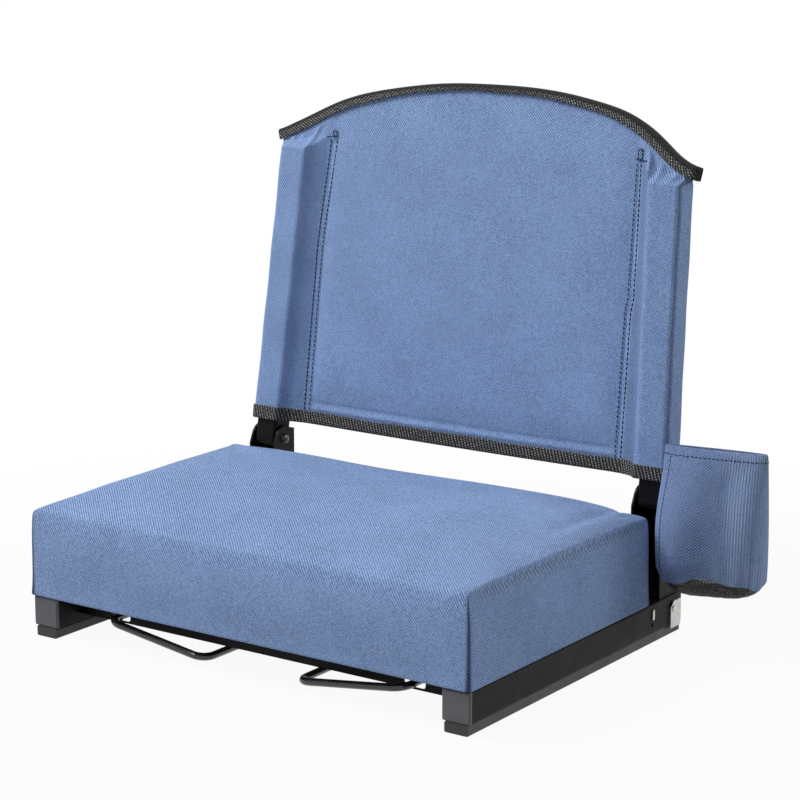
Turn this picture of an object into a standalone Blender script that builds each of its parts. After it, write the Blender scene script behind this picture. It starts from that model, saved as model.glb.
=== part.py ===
"""Folding bleacher seat, modelled in metres with +Z up.

Two steel rails on foot strips carry a foam cushion, two hinge brackets and two swinging wire
hooks.  A fabric back on two uprights folds forward about the brackets' pivots.  The seat faces
-Y.  Its own measures count X from its middle, Y from the rails' front ends and Z from the floor.
"""

import math

import bmesh
import bpy
import numpy as np

# Clearances and sheet thicknesses
GAP = 0.0003
TILT_ROOM = 0.0014
STRAP_WALL = 0.0013
COVER_WALL = 0.0015
BINDING_WALL = 0.0014

# Rails and foot strips
OVERALL_W = 0.445
RAIL_SIDE = 0.026
RAIL_WALL = 0.0015
RAIL_CORNER = 0.002
CAP_FACE = 0.003
CAP_PLUG = 0.010
CAP_EDGE = 0.0012
FOOT_H = 0.009
FOOT_INSET = 0.002
FOOT_EDGE = 0.0015

# Cross members, slotted for the hooks
ANGLE_LEG = 0.019
ANGLE_T = 0.002
FRONT_ANGLE_Y = 0.030
REAR_ANGLE_IN = 0.032
SLOT_W = 0.021
SLOT_H = 0.008
SCREW_FROM_RAIL = 0.0915
SCREW_R = 0.002
SCREW_HEAD_R = 0.0042
SCREW_HEAD_H = 0.0026
SCREW_BITE = 0.007
SCREW_POINT = 0.5
BORE_ROOM = 0.0003

# Cushion
SEAT_INSET = 0.0005
SEAT_DEPTH = 0.271
SEAT_FRONT = -0.001
SEAT_EDGE_Z = 0.111
SEAT_CROWN = 0.013
SEAT_CORNER = 0.012
SEAT_PULL = 0.0025
SEAT_TUCK = 0.0055
SEAT_EDGE_IN = 0.003
TOP_STEP = 0.0045
TOP_RATIO = 2.1
HEM_WIDTH = 0.027
BOARD_T = 0.010
FOAM_SPLIT_Z = 0.098

# Hinge brackets and pivots
PIVOT_INSET = 0.004
PIVOT_BEHIND_SEAT = 0.0385
RAIL_BEHIND_PIVOT = 0.0195
PIVOT_Z = 0.117
BRACKET_T = 0.002
BRACKET_AHEAD = 0.0155
EAR_R = 0.0125
EAR_ARC = (150, 45)
EAR_SHOULDER = 0.004
WEB_ABOVE = 0.008
RIVET_R = 0.003
RIVET_HEAD_R = 0.0055
RIVET_DOME = 0.0032
RIVET_FLAT = 0.0015
WASHER_R = 0.005
WASHER_T = 0.0008

# Uprights and back
LEAN = math.radians(7.28)
TAPER = 0.0424
TUBE_W = 0.0225
TUBE_D = 0.023
TUBE_WALL = 0.0015
TUBE_CORNER = 0.0025
UPRIGHT_TOP = 0.256
PLUG_FACE = 0.003
PLUG_DEPTH = 0.016
SLEEVE_CORNER = 0.0035
TAIL_EDGE = 0.0008
SLEEVE_TAIL = 0.040
SLEEVE_FULL_TOP = 0.262
PANEL_FRONT_Y = 0.0004
CLOTH_T = 0.0012
PAD_T = 0.004
PAD_SWELL = 0.002
HEM_Z = 0.019
HEM_SAG = 0.006
BINDING_H = 0.011
ARCH_TOP = 0.3395
ARCH_DROP = 0.0415
ARCH_REF_IN = 0.0145
ARCH_POWER = 2.9
ARCH_OVERHANG = 0.0185
ARCH_EASE = 0.012

# Bench hooks
HOOK_FROM_RAIL = 0.0455
HOOK_Z = 0.0215
HOOK_SPAN = 0.104
HOOK_FRONT_Y = 0.0145
HOOK_OUTER_END_Y = 0.138
HOOK_INNER_END_Y = 0.112
HOOK_BEND = 0.012
HOOK_DROOP = math.radians(7.85)
WIRE_R = 0.00325
WIRE_TIP = 0.0012
NUT_R = 0.0062
NUT_T = 0.003
SADDLE_Y = 0.112
SADDLE_L = 0.014
SADDLE_T = 0.0015
SADDLE_HALF = 0.017

# Zinc details on the rails
PLATE_END_IN = 0.0046
PLATE_LENGTH = 0.0168
PLATE_LOW_Z = 0.0072
PLATE_TOP_Z = 0.0306
PLATE_T = 0.0014
PLATE_CHAMFER = 0.005
PLATE_RIVET_BACK = 0.0052
PLATE_RIVET_Z = 0.024
SMALL_RIVET_R = 0.0016
SMALL_HEAD_R = 0.003
SMALL_HEAD_H = 0.0011
CLIP_END_IN = 0.0503
CLIP_W = 0.003
CLIP_LOW_Z = 0.0219
CLIP_H = 0.009
CLIP_T = 0.001

# Cup holder
CUP_BEHIND_PIVOT = 0.0035
CUP_LOW_Z = 0.050
CUP_RIM_Z = 0.169
CUP_TURN = math.radians(13.2)
CUP_HALF_W = 0.0455
CUP_RIM_HALF_W = 0.0440
CUP_HALF_D = 0.026
CUP_RIM_HALF_D = 0.0085
CUP_ROUND = 2.4
CUP_WALL = 0.0015
CUP_DRAW = 0.12
CUP_FOLDS = 5
CUP_FOLD_DEPTH = 0.0012
CUP_HEM_WAVE = 0.003
MESH_T = 0.0012
MESH_SAG = 0.013
MESH_OVERLAP = 0.005
TAB_T = 0.0016
TAB_W = 0.022
TAB_LOW_Z = 0.056
TAB_H = 0.044

# Worked-out places shared by several pieces
RAIL_LOW = FOOT_H + GAP
RAIL_TOP = RAIL_LOW + RAIL_SIDE
RAIL_X = OVERALL_W / 2 - RAIL_SIDE / 2
RAIL_INNER_X = OVERALL_W / 2 - RAIL_SIDE
RAIL_BORE = RAIL_SIDE - 2 * RAIL_WALL
SEAT_LOW = RAIL_TOP + GAP
SEAT_MID_Y = SEAT_FRONT + SEAT_DEPTH / 2
SEAT_REAR = SEAT_FRONT + SEAT_DEPTH
SEAT_W = OVERALL_W - 2 * SEAT_INSET
SCREW_X = RAIL_INNER_X - SCREW_FROM_RAIL
PIVOT_X = RAIL_X - PIVOT_INSET
PIVOT_Y = SEAT_REAR + PIVOT_BEHIND_SEAT
RAIL_LENGTH = PIVOT_Y + RAIL_BEHIND_PIVOT
REAR_ANGLE_Y = SEAT_REAR - REAR_ANGLE_IN
HOOK_X = RAIL_INNER_X - HOOK_FROM_RAIL
PLATE_FRONT_Y = RAIL_LENGTH - PLATE_END_IN - PLATE_LENGTH
CLIP_Y = RAIL_LENGTH - CLIP_END_IN
CUP_Y = PIVOT_Y + CUP_BEHIND_PIVOT
ARCH_REF_X = PIVOT_X - ARCH_REF_IN
ARCH_END_X = PIVOT_X + ARCH_OVERHANG
BOARD_LOW = SEAT_LOW + COVER_WALL + GAP
BOARD_TOP = BOARD_LOW + BOARD_T
EAR_INSIDE = TUBE_W / 2 + TILT_ROOM
EAR_OUTSIDE = EAR_INSIDE + BRACKET_T
BRACKET_LOW = RAIL_TOP + GAP
SLEEVE_HALF_W = TUBE_W / 2 + GAP + STRAP_WALL
SLEEVE_HALF_D = TUBE_D / 2 + GAP + STRAP_WALL
PANEL_T = 2 * CLOTH_T + PAD_T + 2 * GAP
PANEL_BACK_Y = PANEL_FRONT_Y + PANEL_T
WEB_Y = TUBE_D / 2 / math.cos(LEAN) + WEB_ABOVE * math.tan(LEAN) + GAP
TAB_X = PIVOT_X + EAR_OUTSIDE + GAP

ROUND_SIDES = 14
SIDES = {"left": -1, "right": 1}


# Mesh helpers

def srgb(*levels):
    """A colour given by 0 to 255 screen levels, as linear values with full alpha."""
    c = np.array(levels) / 255
    linear = np.where(c <= 0.04045, c / 12.92, ((c + 0.055) / 1.055) ** 2.4)
    return (*linear.tolist(), 1.0)


def finish(name, colour, roughness, metallic=0.0):
    """A Principled material of one colour."""
    material = bpy.data.materials.new(name)
    material.use_nodes = True
    shader = material.node_tree.nodes["Principled BSDF"]
    shader.inputs["Base Color"].default_value = colour
    shader.inputs["Roughness"].default_value = roughness
    shader.inputs["Metallic"].default_value = metallic
    material.diffuse_color = colour
    return material


def add_mesh(name, points, faces, material, parent, smooth_angle=40):
    """A closed mesh object whose faces are turned outwards."""
    mesh = bpy.data.meshes.new(name)
    mesh.from_pydata(np.asarray(points).tolist(), [], faces)
    shape = bmesh.new()
    shape.from_mesh(mesh)
    bmesh.ops.recalc_face_normals(shape, faces=shape.faces)
    shape.to_mesh(mesh)
    shape.free()
    mesh.shade_smooth()
    mesh.set_sharp_from_angle(angle=math.radians(smooth_angle))
    mesh.materials.append(material)
    item = bpy.data.objects.new(name, mesh)
    bpy.context.scene.collection.objects.link(item)
    item.parent = parent
    return item


def add_empty(name, place, parent=None, turn=(0, 0, 0)):
    """An empty that carries pieces, at a joint's axis or at the seat's reference point."""
    empty = bpy.data.objects.new(name, None)
    bpy.context.scene.collection.objects.link(empty)
    empty.location = place
    empty.rotation_euler = turn
    empty.parent = parent
    return empty


def side_faces(first, second, count):
    """Quads between two rings of points that start at these indices."""
    step = range(count)
    return [(first + i, first + (i + 1) % count, second + (i + 1) % count, second + i) for i in step]


def loft(name, rings, material, parent, smooth_angle=40):
    """A solid through rings of equally many points, closed by flat ends."""
    count = len(rings[0])
    faces = [tuple(range(count)), tuple(range((len(rings) - 1) * count, len(rings) * count))]
    for k in range(len(rings) - 1):
        faces += side_faces(k * count, (k + 1) * count, count)
    return add_mesh(name, np.concatenate(rings), faces, material, parent, smooth_angle)


def end_cap(start, count, seam):
    """Faces over one ring: one flat face, or strips across it that pair points off from a seam."""
    ring = start + (np.arange(count) + (seam or 0)) % count
    if seam is None:
        return [tuple(ring.tolist())]
    near = ring[: count // 2]
    far = ring[: count // 2 - 1 : -1]
    strips = np.stack([near[:-1], near[1:], far[1:], far[:-1]], 1)
    return [tuple(strip) for strip in strips.tolist()]


def shell(name, outer, inner, material, parent, closed_top=False, smooth_angle=40, seam=None):
    """A wall between outer and inner rings, open at the first ring, open or closed at the last."""
    count = len(outer[0])
    start = len(outer) * count
    faces = side_faces(0, start, count)
    for k in range(len(outer) - 1):
        faces += side_faces(k * count, (k + 1) * count, count)
    for k in range(len(inner) - 1):
        faces += side_faces(start + k * count, start + (k + 1) * count, count)
    outer_top = (len(outer) - 1) * count
    inner_top = start + (len(inner) - 1) * count
    if closed_top:
        faces += end_cap(outer_top, count, seam) + end_cap(inner_top, count, seam)
    else:
        faces += side_faces(outer_top, inner_top, count)
    return add_mesh(name, np.concatenate([*outer, *inner]), faces, material, parent, smooth_angle)


def slab(name, front, back, material, parent):
    """A sheet between two grids of points of the same size, closed along its four edges."""
    rows, columns = front.shape[:2]
    index = np.arange(rows * columns).reshape(rows, columns)
    other = index + rows * columns
    faces = []
    for grid in (index, other):
        corners = [grid[:-1, :-1], grid[:-1, 1:], grid[1:, 1:], grid[1:, :-1]]
        faces += [tuple(f) for f in np.stack(corners, -1).reshape(-1, 4).tolist()]
    rim = np.concatenate([index[0, :-1], index[:-1, -1], index[-1, :0:-1], index[:0:-1, 0]])
    step = np.roll(rim, -1)
    shift = rows * columns
    faces += list(zip(rim.tolist(), step.tolist(), (step + shift).tolist(), (rim + shift).tolist()))
    points = np.concatenate([front.reshape(-1, 3), back.reshape(-1, 3)])
    return add_mesh(name, points, faces, material, parent)


def cut(item, cutter, operation="DIFFERENCE"):
    """Cuts one piece with a hidden second one."""
    cutter.hide_render = True
    cutter.display_type = "WIRE"
    modifier = item.modifiers.new(cutter.name, "BOOLEAN")
    modifier.object = cutter
    modifier.operation = operation
    modifier.solver = "EXACT"


# Outline helpers

def rectangle(width, height, middle=(0.0, 0.0)):
    """The four corners of a rectangle, counter-clockwise."""
    corners = np.array([(-1, -1), (1, -1), (1, 1), (-1, 1)]) / 2
    return corners * (width, height) + middle


def offset(corners, distance):
    """The corners of a polygon whose edges have all moved outwards by a distance."""
    corners = np.asarray(corners, float)
    after = np.roll(corners, -1, axis=0)
    edge = after - corners
    turn = np.sum(corners[:, 0] * after[:, 1] - after[:, 0] * corners[:, 1])
    normal = np.stack([edge[:, 1], -edge[:, 0]], 1) * np.sign(turn)
    normal /= np.linalg.norm(normal, axis=1, keepdims=True)
    before = np.roll(normal, 1, axis=0)
    return corners + distance * (before + normal) / (1 + np.sum(before * normal, 1, keepdims=True))


def rounded(corners, radius, steps=3, between=0):
    """A polygon with each corner turned into an arc, and some points along each straight edge."""
    corners = np.asarray(corners, float)
    radii = np.broadcast_to(radius, len(corners))
    points = []
    neighbours = zip(np.roll(corners, 1, 0), np.roll(corners, -1, 0))
    for corner, (before, after), r in zip(corners, neighbours, radii):
        a = (before - corner) / np.linalg.norm(before - corner)
        b = (after - corner) / np.linalg.norm(after - corner)
        half = math.acos(np.clip(a @ b, -1, 1)) / 2
        centre = corner + (a + b) / np.linalg.norm(a + b) * r / math.sin(half)
        start = corner + a * r / math.tan(half) - centre
        end = corner + b * r / math.tan(half) - centre
        sweep = math.pi - 2 * half
        share = np.linspace(0, 1, steps + 1)[:, None]
        arc = np.sin((1 - share) * sweep) * start + np.sin(share * sweep) * end
        points.append(centre + arc / math.sin(sweep))
    if between:
        share = np.linspace(0, 1, between + 2)[1:-1, None]
        nexts = points[1:] + points[:1]
        points = [np.concatenate([p, p[-1] + share * (n[0] - p[-1])]) for p, n in zip(points, nexts)]
    return np.concatenate(points)


def circle(radius, sides=ROUND_SIDES):
    """Points on a circle about the origin."""
    angle = np.arange(sides) * 2 * math.pi / sides
    return radius * np.stack([np.cos(angle), np.sin(angle)], 1)


def across_x(profile, x):
    """A flat (y, z) outline placed at one x."""
    return np.column_stack([np.full(len(profile), x), profile])


def across_y(profile, y):
    """A flat (x, z) outline placed at one y."""
    return np.column_stack([profile[:, 0], np.full(len(profile), y), profile[:, 1]])


def across_z(profile, z):
    """A flat (x, y) outline placed at one z, or at a z for each of its points."""
    return np.column_stack([profile, np.broadcast_to(z, len(profile))])


def turned(steps, place):
    """Rings of a turned piece from (distance along its axis, radius) steps, placed by a function."""
    return [place(circle(radius), along) for along, radius in steps]


def dome(base, height, radius):
    """Steps of a domed rivet head that rises from a base: quarter-ellipse rings, widest first."""
    angles = np.radians([0, 40, 72])
    return [(base + height * math.sin(a), radius * math.cos(a)) for a in angles]


def rod(name, low, high, radius, axis, middle, parent, material):
    """A round bar between two distances along x, y or z, used as a pin or as a cutter."""
    place = {"x": across_x, "y": across_y, "z": across_z}[axis]
    return loft(name, [place(circle(radius) + middle, end) for end in (low, high)], material, parent)


# Base frame

def rails(parent, steel, plastic, rubber):
    """Square tubes with plugged ends on foot strips, one on each side."""
    outer = rounded(rectangle(RAIL_SIDE, RAIL_SIDE), RAIL_CORNER)
    inner = rounded(rectangle(RAIL_BORE, RAIL_BORE), RAIL_CORNER - RAIL_WALL / 2)
    plug_side = RAIL_BORE - 2 * GAP
    foot_w = RAIL_SIDE - 2 * FOOT_INSET
    foot = rounded(rectangle(foot_w, FOOT_H), FOOT_EDGE)
    ends = (CAP_FACE + GAP, RAIL_LENGTH - CAP_FACE - GAP)
    for side, sign in SIDES.items():
        middle = (sign * RAIL_X, RAIL_LOW + RAIL_SIDE / 2)
        rail = shell(
            f"rail_{side}",
            [across_y(outer + middle, y) for y in ends],
            [across_y(inner + middle, y) for y in ends],
            steel,
            parent,
        )
        hole = rod(
            f"clip_hole_{side}",
            sign * (RAIL_X + RAIL_SIDE / 2 - 2 * RAIL_WALL),
            sign * (RAIL_X + RAIL_SIDE),
            SMALL_RIVET_R,
            "x",
            (CLIP_Y, CLIP_LOW_Z - CLIP_H / 2),
            parent,
            steel,
        )
        cut(rail, hole)
        pin = rod(
            f"plate_hole_{side}",
            sign * (RAIL_X + RAIL_SIDE / 2 - 2 * RAIL_WALL),
            sign * (RAIL_X + RAIL_SIDE),
            SMALL_RIVET_R + BORE_ROOM,
            "x",
            (PLATE_FRONT_Y + PLATE_RIVET_BACK, PLATE_RIVET_Z),
            parent,
            steel,
        )
        cut(rail, pin)
        for end, face_y, inward in (("front", 0.0, 1), ("rear", RAIL_LENGTH, -1)):
            steps = (
                (0.0, RAIL_SIDE - 2 * CAP_EDGE),
                (CAP_EDGE, RAIL_SIDE),
                (CAP_FACE, RAIL_SIDE),
                (CAP_FACE, plug_side),
                (CAP_FACE + CAP_PLUG - CAP_EDGE, plug_side),
                (CAP_FACE + CAP_PLUG, plug_side - 2 * CAP_EDGE),
            )
            corner = RAIL_CORNER - RAIL_WALL / 2
            rings = [
                across_y(rounded(rectangle(w, w), corner) + middle, face_y + inward * y)
                for y, w in steps
            ]
            loft(f"rail_{end}_cap_{side}", rings, plastic, parent)
        loft(
            f"foot_strip_{side}",
            [across_y(foot + (sign * RAIL_X, FOOT_H / 2), y) for y in (FOOT_INSET / 2, RAIL_LENGTH)],
            rubber,
            parent,
        )


def cross_angles(parent, steel, zinc):
    """Angle irons between the rails under the board, with hook slots in the front one."""
    half = RAIL_INNER_X - GAP
    for end, face_y, back in (("front", FRONT_ANGLE_Y, 1), ("rear", REAR_ANGLE_Y, -1)):
        profile = np.array([
            (face_y, RAIL_TOP - ANGLE_LEG),
            (face_y, RAIL_TOP),
            (face_y + back * ANGLE_LEG, RAIL_TOP),
            (face_y + back * ANGLE_LEG, RAIL_TOP - ANGLE_T),
            (face_y + back * ANGLE_T, RAIL_TOP - ANGLE_T),
            (face_y + back * ANGLE_T, RAIL_TOP - ANGLE_LEG),
        ])
        angle = loft(f"{end}_cross_angle", [across_x(profile, x) for x in (-half, half)], steel, parent)
        screw_y = face_y + back * (ANGLE_LEG + ANGLE_T) / 2
        for side, sign in SIDES.items():
            board_screw(f"board_screw_{end}_{side}", (sign * SCREW_X, screw_y), angle, parent, zinc)
            if end == "front":
                slot = rounded(rectangle(SLOT_W, SLOT_H, (sign * HOOK_X, HOOK_Z)), SLOT_H / 2 - GAP, 5)
                depths = (face_y - ANGLE_T, face_y + 2 * ANGLE_T)
                rings = [across_y(slot, y) for y in depths]
                cut(angle, loft(f"hook_slot_{side}", rings, steel, parent))


def board_screw(name, place, angle, parent, zinc):
    """A pan-head screw up through a cross angle into the board, which both have holes for."""
    seat_z = RAIL_TOP - ANGLE_T - GAP
    tip = BOARD_LOW + SCREW_BITE
    steps = [(tip, SCREW_R * SCREW_POINT), (tip - SCREW_R, SCREW_R), (seat_z, SCREW_R)]
    steps += [(seat_z - z, r) for z, r in dome(0.0, SCREW_HEAD_H, SCREW_HEAD_R)]
    loft(name, turned(steps, lambda ring, z: across_z(ring + place, z)), zinc, parent)
    ends = (seat_z - SCREW_HEAD_H, tip + SCREW_R)
    hole = rod(f"{name}_hole", *ends, SCREW_R + BORE_ROOM, "z", place, parent, zinc)
    cut(angle, hole)
    BOARD_HOLES.append(hole)


BOARD_HOLES = []


# Cushion

def seat_ring(inset, z):
    """One ring of the cushion: a round-cornered plan, drawn in between its corners."""
    half = np.array([SEAT_W, SEAT_DEPTH]) / 2 - inset
    radius = max(SEAT_CORNER - inset / 2, SEAT_CORNER / 3)
    plan = rounded(rectangle(*(2 * half)), radius, 4, 6)
    share = plan / half
    pull = SEAT_PULL * (1 - np.clip(share[:, ::-1] ** 2, 0, 1))
    return across_z(plan * (1 - pull / half) + (0, SEAT_MID_Y), z)


def crown(inset):
    """Height of the cushion's top at an inset from its edge: a quartic rise to the middle."""
    return SEAT_EDGE_Z + SEAT_CROWN * (1 - (1 - inset / (SEAT_DEPTH / 2)) ** 4)


SIDE_SHARES = np.array([0.0, 0.08, 0.35, 0.75, 1.0])
SIDE_HEIGHTS = SEAT_LOW + (SEAT_EDGE_Z - SEAT_LOW) * SIDE_SHARES
SIDE_INSETS = SEAT_TUCK * (1 - SIDE_SHARES) ** 6 + SEAT_EDGE_IN * SIDE_SHARES ** 6
TOP_INSETS = SEAT_EDGE_IN + TOP_STEP * TOP_RATIO ** np.arange(5)


def side_inset(z):
    """How far the cushion's side stands in from its widest line at a height."""
    return float(np.interp(z, SIDE_HEIGHTS, SIDE_INSETS))


def seat_stack(parent, cloth, firm_foam, soft_foam, wood):
    """Board, two layers of foam, and the cover that wraps them and is turned in underneath."""
    outer = [seat_ring(HEM_WIDTH, SEAT_LOW)]
    outer += [seat_ring(i, z) for i, z in zip(SIDE_INSETS, SIDE_HEIGHTS)]
    outer += [seat_ring(i, crown(i)) for i in TOP_INSETS]
    wall = COVER_WALL
    inner = [seat_ring(HEM_WIDTH, SEAT_LOW + wall), seat_ring(SIDE_INSETS[0] + wall, SEAT_LOW + wall)]
    inner += [seat_ring(i + wall, z) for i, z in zip(SIDE_INSETS[1:-1], SIDE_HEIGHTS[1:-1])]
    inner += [seat_ring(SIDE_INSETS[-1] + wall, SEAT_EDGE_Z - wall / 2)]
    inner += [seat_ring(i, crown(i) - wall) for i in TOP_INSETS]
    shell("seat_cover", outer, inner, cloth, parent, closed_top=True)

    room = wall + GAP
    board_inset = SEAT_TUCK + room
    layers = [seat_ring(board_inset, z) for z in (BOARD_LOW, BOARD_TOP)]
    board = loft("seat_board", layers, wood, parent)
    for hole in BOARD_HOLES:
        cut(board, hole)

    def wall_inset(z):
        return side_inset(z) + room

    base_low = BOARD_TOP + GAP
    heights = [base_low, *[z for z in SIDE_HEIGHTS if base_low < z < FOAM_SPLIT_Z], FOAM_SPLIT_Z]
    loft("seat_foam_base", [seat_ring(wall_inset(z), z) for z in heights], firm_foam, parent)
    top_low = FOAM_SPLIT_Z + GAP
    edge_z = SEAT_EDGE_Z - room
    rings = [seat_ring(wall_inset(top_low), top_low), seat_ring(wall_inset(edge_z) + GAP, edge_z)]
    rings += [seat_ring(i + GAP, crown(i) - room) for i in TOP_INSETS]
    loft("seat_foam_top", rings, soft_foam, parent)


# Hinge brackets

def brackets(parent, steel, zinc, nylon):
    """Channels with round ears, open in front, whose rear webs stop the leaning uprights."""
    arc = np.radians(np.linspace(*EAR_ARC, 8))
    crest = EAR_R * np.stack([np.cos(arc), np.sin(arc)], 1)
    web_back = WEB_Y + BRACKET_T
    low = BRACKET_LOW - PIVOT_Z
    outline = np.concatenate([
        [(-BRACKET_AHEAD, low), (-BRACKET_AHEAD, -EAR_SHOULDER)],
        crest,
        [(web_back, WEB_ABOVE), (web_back, low)],
    ]) + (PIVOT_Y, PIVOT_Z)
    channel = np.array([
        (-EAR_OUTSIDE, -BRACKET_AHEAD),
        (-EAR_INSIDE, -BRACKET_AHEAD),
        (-EAR_INSIDE, WEB_Y),
        (EAR_INSIDE, WEB_Y),
        (EAR_INSIDE, -BRACKET_AHEAD),
        (EAR_OUTSIDE, -BRACKET_AHEAD),
        (EAR_OUTSIDE, web_back),
        (-EAR_OUTSIDE, web_back),
    ])
    floor_middle = (0, (WEB_Y - BRACKET_AHEAD) / 2 + GAP)
    base = rectangle(2 * EAR_INSIDE + BRACKET_T, BRACKET_AHEAD + WEB_Y, floor_middle)
    for side, sign in SIDES.items():
        middle = np.array([sign * PIVOT_X, PIVOT_Y])
        body = [across_z(channel + middle, z) for z in (BRACKET_LOW, PIVOT_Z + 2 * EAR_R)]
        bracket = loft(f"bracket_{side}", body, steel, parent)
        floor = [across_z(base + middle, z) for z in (BRACKET_LOW, BRACKET_LOW + BRACKET_T)]
        cut(bracket, loft(f"bracket_floor_{side}", floor, steel, parent), "UNION")
        reach = [sign * PIVOT_X + 2 * EAR_OUTSIDE * end for end in (-1, 1)]
        ears = [across_x(outline, x) for x in reach]
        cut(bracket, loft(f"ear_outline_{side}", ears, steel, parent), "INTERSECT")
        axis = (PIVOT_Y, PIVOT_Z)
        bore = rod(f"ear_bore_{side}", *reach, RIVET_R + BORE_ROOM, "x", axis, parent, steel)
        cut(bracket, bore)
        if side == "right":
            ends = (PIVOT_X, PIVOT_X + 2 * EAR_OUTSIDE)
            bore_r = SMALL_RIVET_R + BORE_ROOM
            cut(bracket, rod("tab_bore", *ends, bore_r, "x", tab_rivet_place(), parent, steel))
        pivot_fasteners(side, sign, parent, zinc, nylon)


def pivot_fasteners(side, sign, parent, metal, nylon):
    """The pivot's rivet, domed on the inner side and flat on the outer, and its two washers."""
    face = EAR_OUTSIDE + GAP
    steps = [(-z, r) for z, r in reversed(dome(face, RIVET_DOME, RIVET_HEAD_R))]
    steps += [(-face, RIVET_R), (face, RIVET_R)]
    steps += dome(face, RIVET_FLAT, RIVET_HEAD_R)

    def place(ring, along):
        return across_x(ring + (PIVOT_Y, PIVOT_Z), sign * (PIVOT_X + along))

    loft(f"pivot_rivet_{side}", turned(steps, place), metal, parent)
    start = EAR_INSIDE - GAP
    for where, way in (("outer", 1), ("inner", -1)):
        ends = (way * (start - WASHER_T), way * start)
        rings = [[place(circle(r), end) for end in ends] for r in (WASHER_R, RIVET_R + BORE_ROOM)]
        shell(f"pivot_washer_{where}_{side}", *rings, nylon, parent)


# Zinc details

def zinc_details(parent, zinc):
    """A riveted plate at the rear of each rail's outer side and a small clip ahead of it."""
    face = OVERALL_W / 2 + GAP
    rear = PLATE_FRONT_Y + PLATE_LENGTH
    outline = np.array([
        (PLATE_FRONT_Y, PLATE_LOW_Z),
        (rear, PLATE_LOW_Z),
        (rear, PLATE_TOP_Z),
        (PLATE_FRONT_Y + PLATE_CHAMFER, PLATE_TOP_Z),
        (PLATE_FRONT_Y, PLATE_TOP_Z - PLATE_CHAMFER),
    ])
    clip = rounded(rectangle(CLIP_W, CLIP_H, (CLIP_Y, CLIP_LOW_Z + CLIP_H / 2)), CLIP_W / 2 - GAP, 4)
    centre = np.array([PLATE_FRONT_Y + PLATE_RIVET_BACK, PLATE_RIVET_Z])
    for side, sign in SIDES.items():
        layers = [sign * (face + depth) for depth in (0, PLATE_T)]
        plate = loft(f"side_plate_{side}", [across_x(outline, x) for x in layers], zinc, parent)
        reach = (sign * (face - PLATE_T), sign * (face + 2 * PLATE_T))
        bore_r = SMALL_RIVET_R + BORE_ROOM
        cut(plate, rod(f"side_plate_bore_{side}", *reach, bore_r, "x", centre, parent, zinc))
        head = face + PLATE_T + GAP
        steps = [(face - 2 * RAIL_WALL, SMALL_RIVET_R), (head, SMALL_RIVET_R)]
        steps += dome(head, SMALL_HEAD_H, SMALL_HEAD_R)
        rings = [across_x(circle(r) + centre, sign * x) for x, r in steps]
        loft(f"side_plate_rivet_{side}", rings, zinc, parent)
        layers = [sign * (face + depth) for depth in (0, CLIP_T)]
        loft(f"edge_clip_{side}", [across_x(clip, x) for x in layers], zinc, parent)


# Bench hooks

def hook_path():
    """Centre points and directions of the wire: outer leg, front bar and inner leg with round bends."""
    turn = np.radians(np.linspace(0, 90, 7))
    first = np.array([HOOK_BEND, HOOK_FRONT_Y + HOOK_BEND])
    second = np.array([HOOK_SPAN - HOOK_BEND, HOOK_FRONT_Y + HOOK_BEND])
    bend = HOOK_BEND * np.stack([-np.cos(turn), -np.sin(turn)], 1)
    points = np.concatenate([
        [(0.0, HOOK_OUTER_END_Y), (0.0, HOOK_OUTER_END_Y - WIRE_TIP)],
        first + bend,
        second + bend[::-1] * (-1, 1),
        [(HOOK_SPAN, HOOK_INNER_END_Y - WIRE_TIP), (HOOK_SPAN, HOOK_INNER_END_Y)],
    ])
    heading = np.concatenate([
        np.tile((0.0, -1.0), (2, 1)),
        np.stack([np.sin(turn), -np.cos(turn)], 1),
        np.stack([np.cos(turn), np.sin(turn)], 1),
        np.tile((0.0, 1.0), (2, 1)),
    ])
    return points, heading


def hook(side, sign, parent, wire, zinc):
    """A U of round wire that swings about its outer leg, kept in by a push nut."""
    points, heading = hook_path()
    radii = np.full(len(points), WIRE_R)
    radii[[0, -1]] -= WIRE_TIP
    ring = circle(1.0, 12)
    rings = []
    for (x, y), (ahead_x, ahead_y), r in zip(points, heading, radii):
        flat = r * ring[:, :1] * (-ahead_y, ahead_x)
        rings.append(np.column_stack([(flat + (x, y)) * (-sign, 1), r * ring[:, 1]]))
    loft(f"hook_wire_{side}", rings, wire, parent, 60)
    ends = (HOOK_OUTER_END_Y - WIRE_TIP - 2 * NUT_T, HOOK_OUTER_END_Y - WIRE_TIP - NUT_T)
    nut = [[across_y(circle(r), y) for y in ends] for r in (NUT_R, WIRE_R + GAP)]
    shell(f"hook_push_nut_{side}", *nut, zinc, parent)


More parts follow.
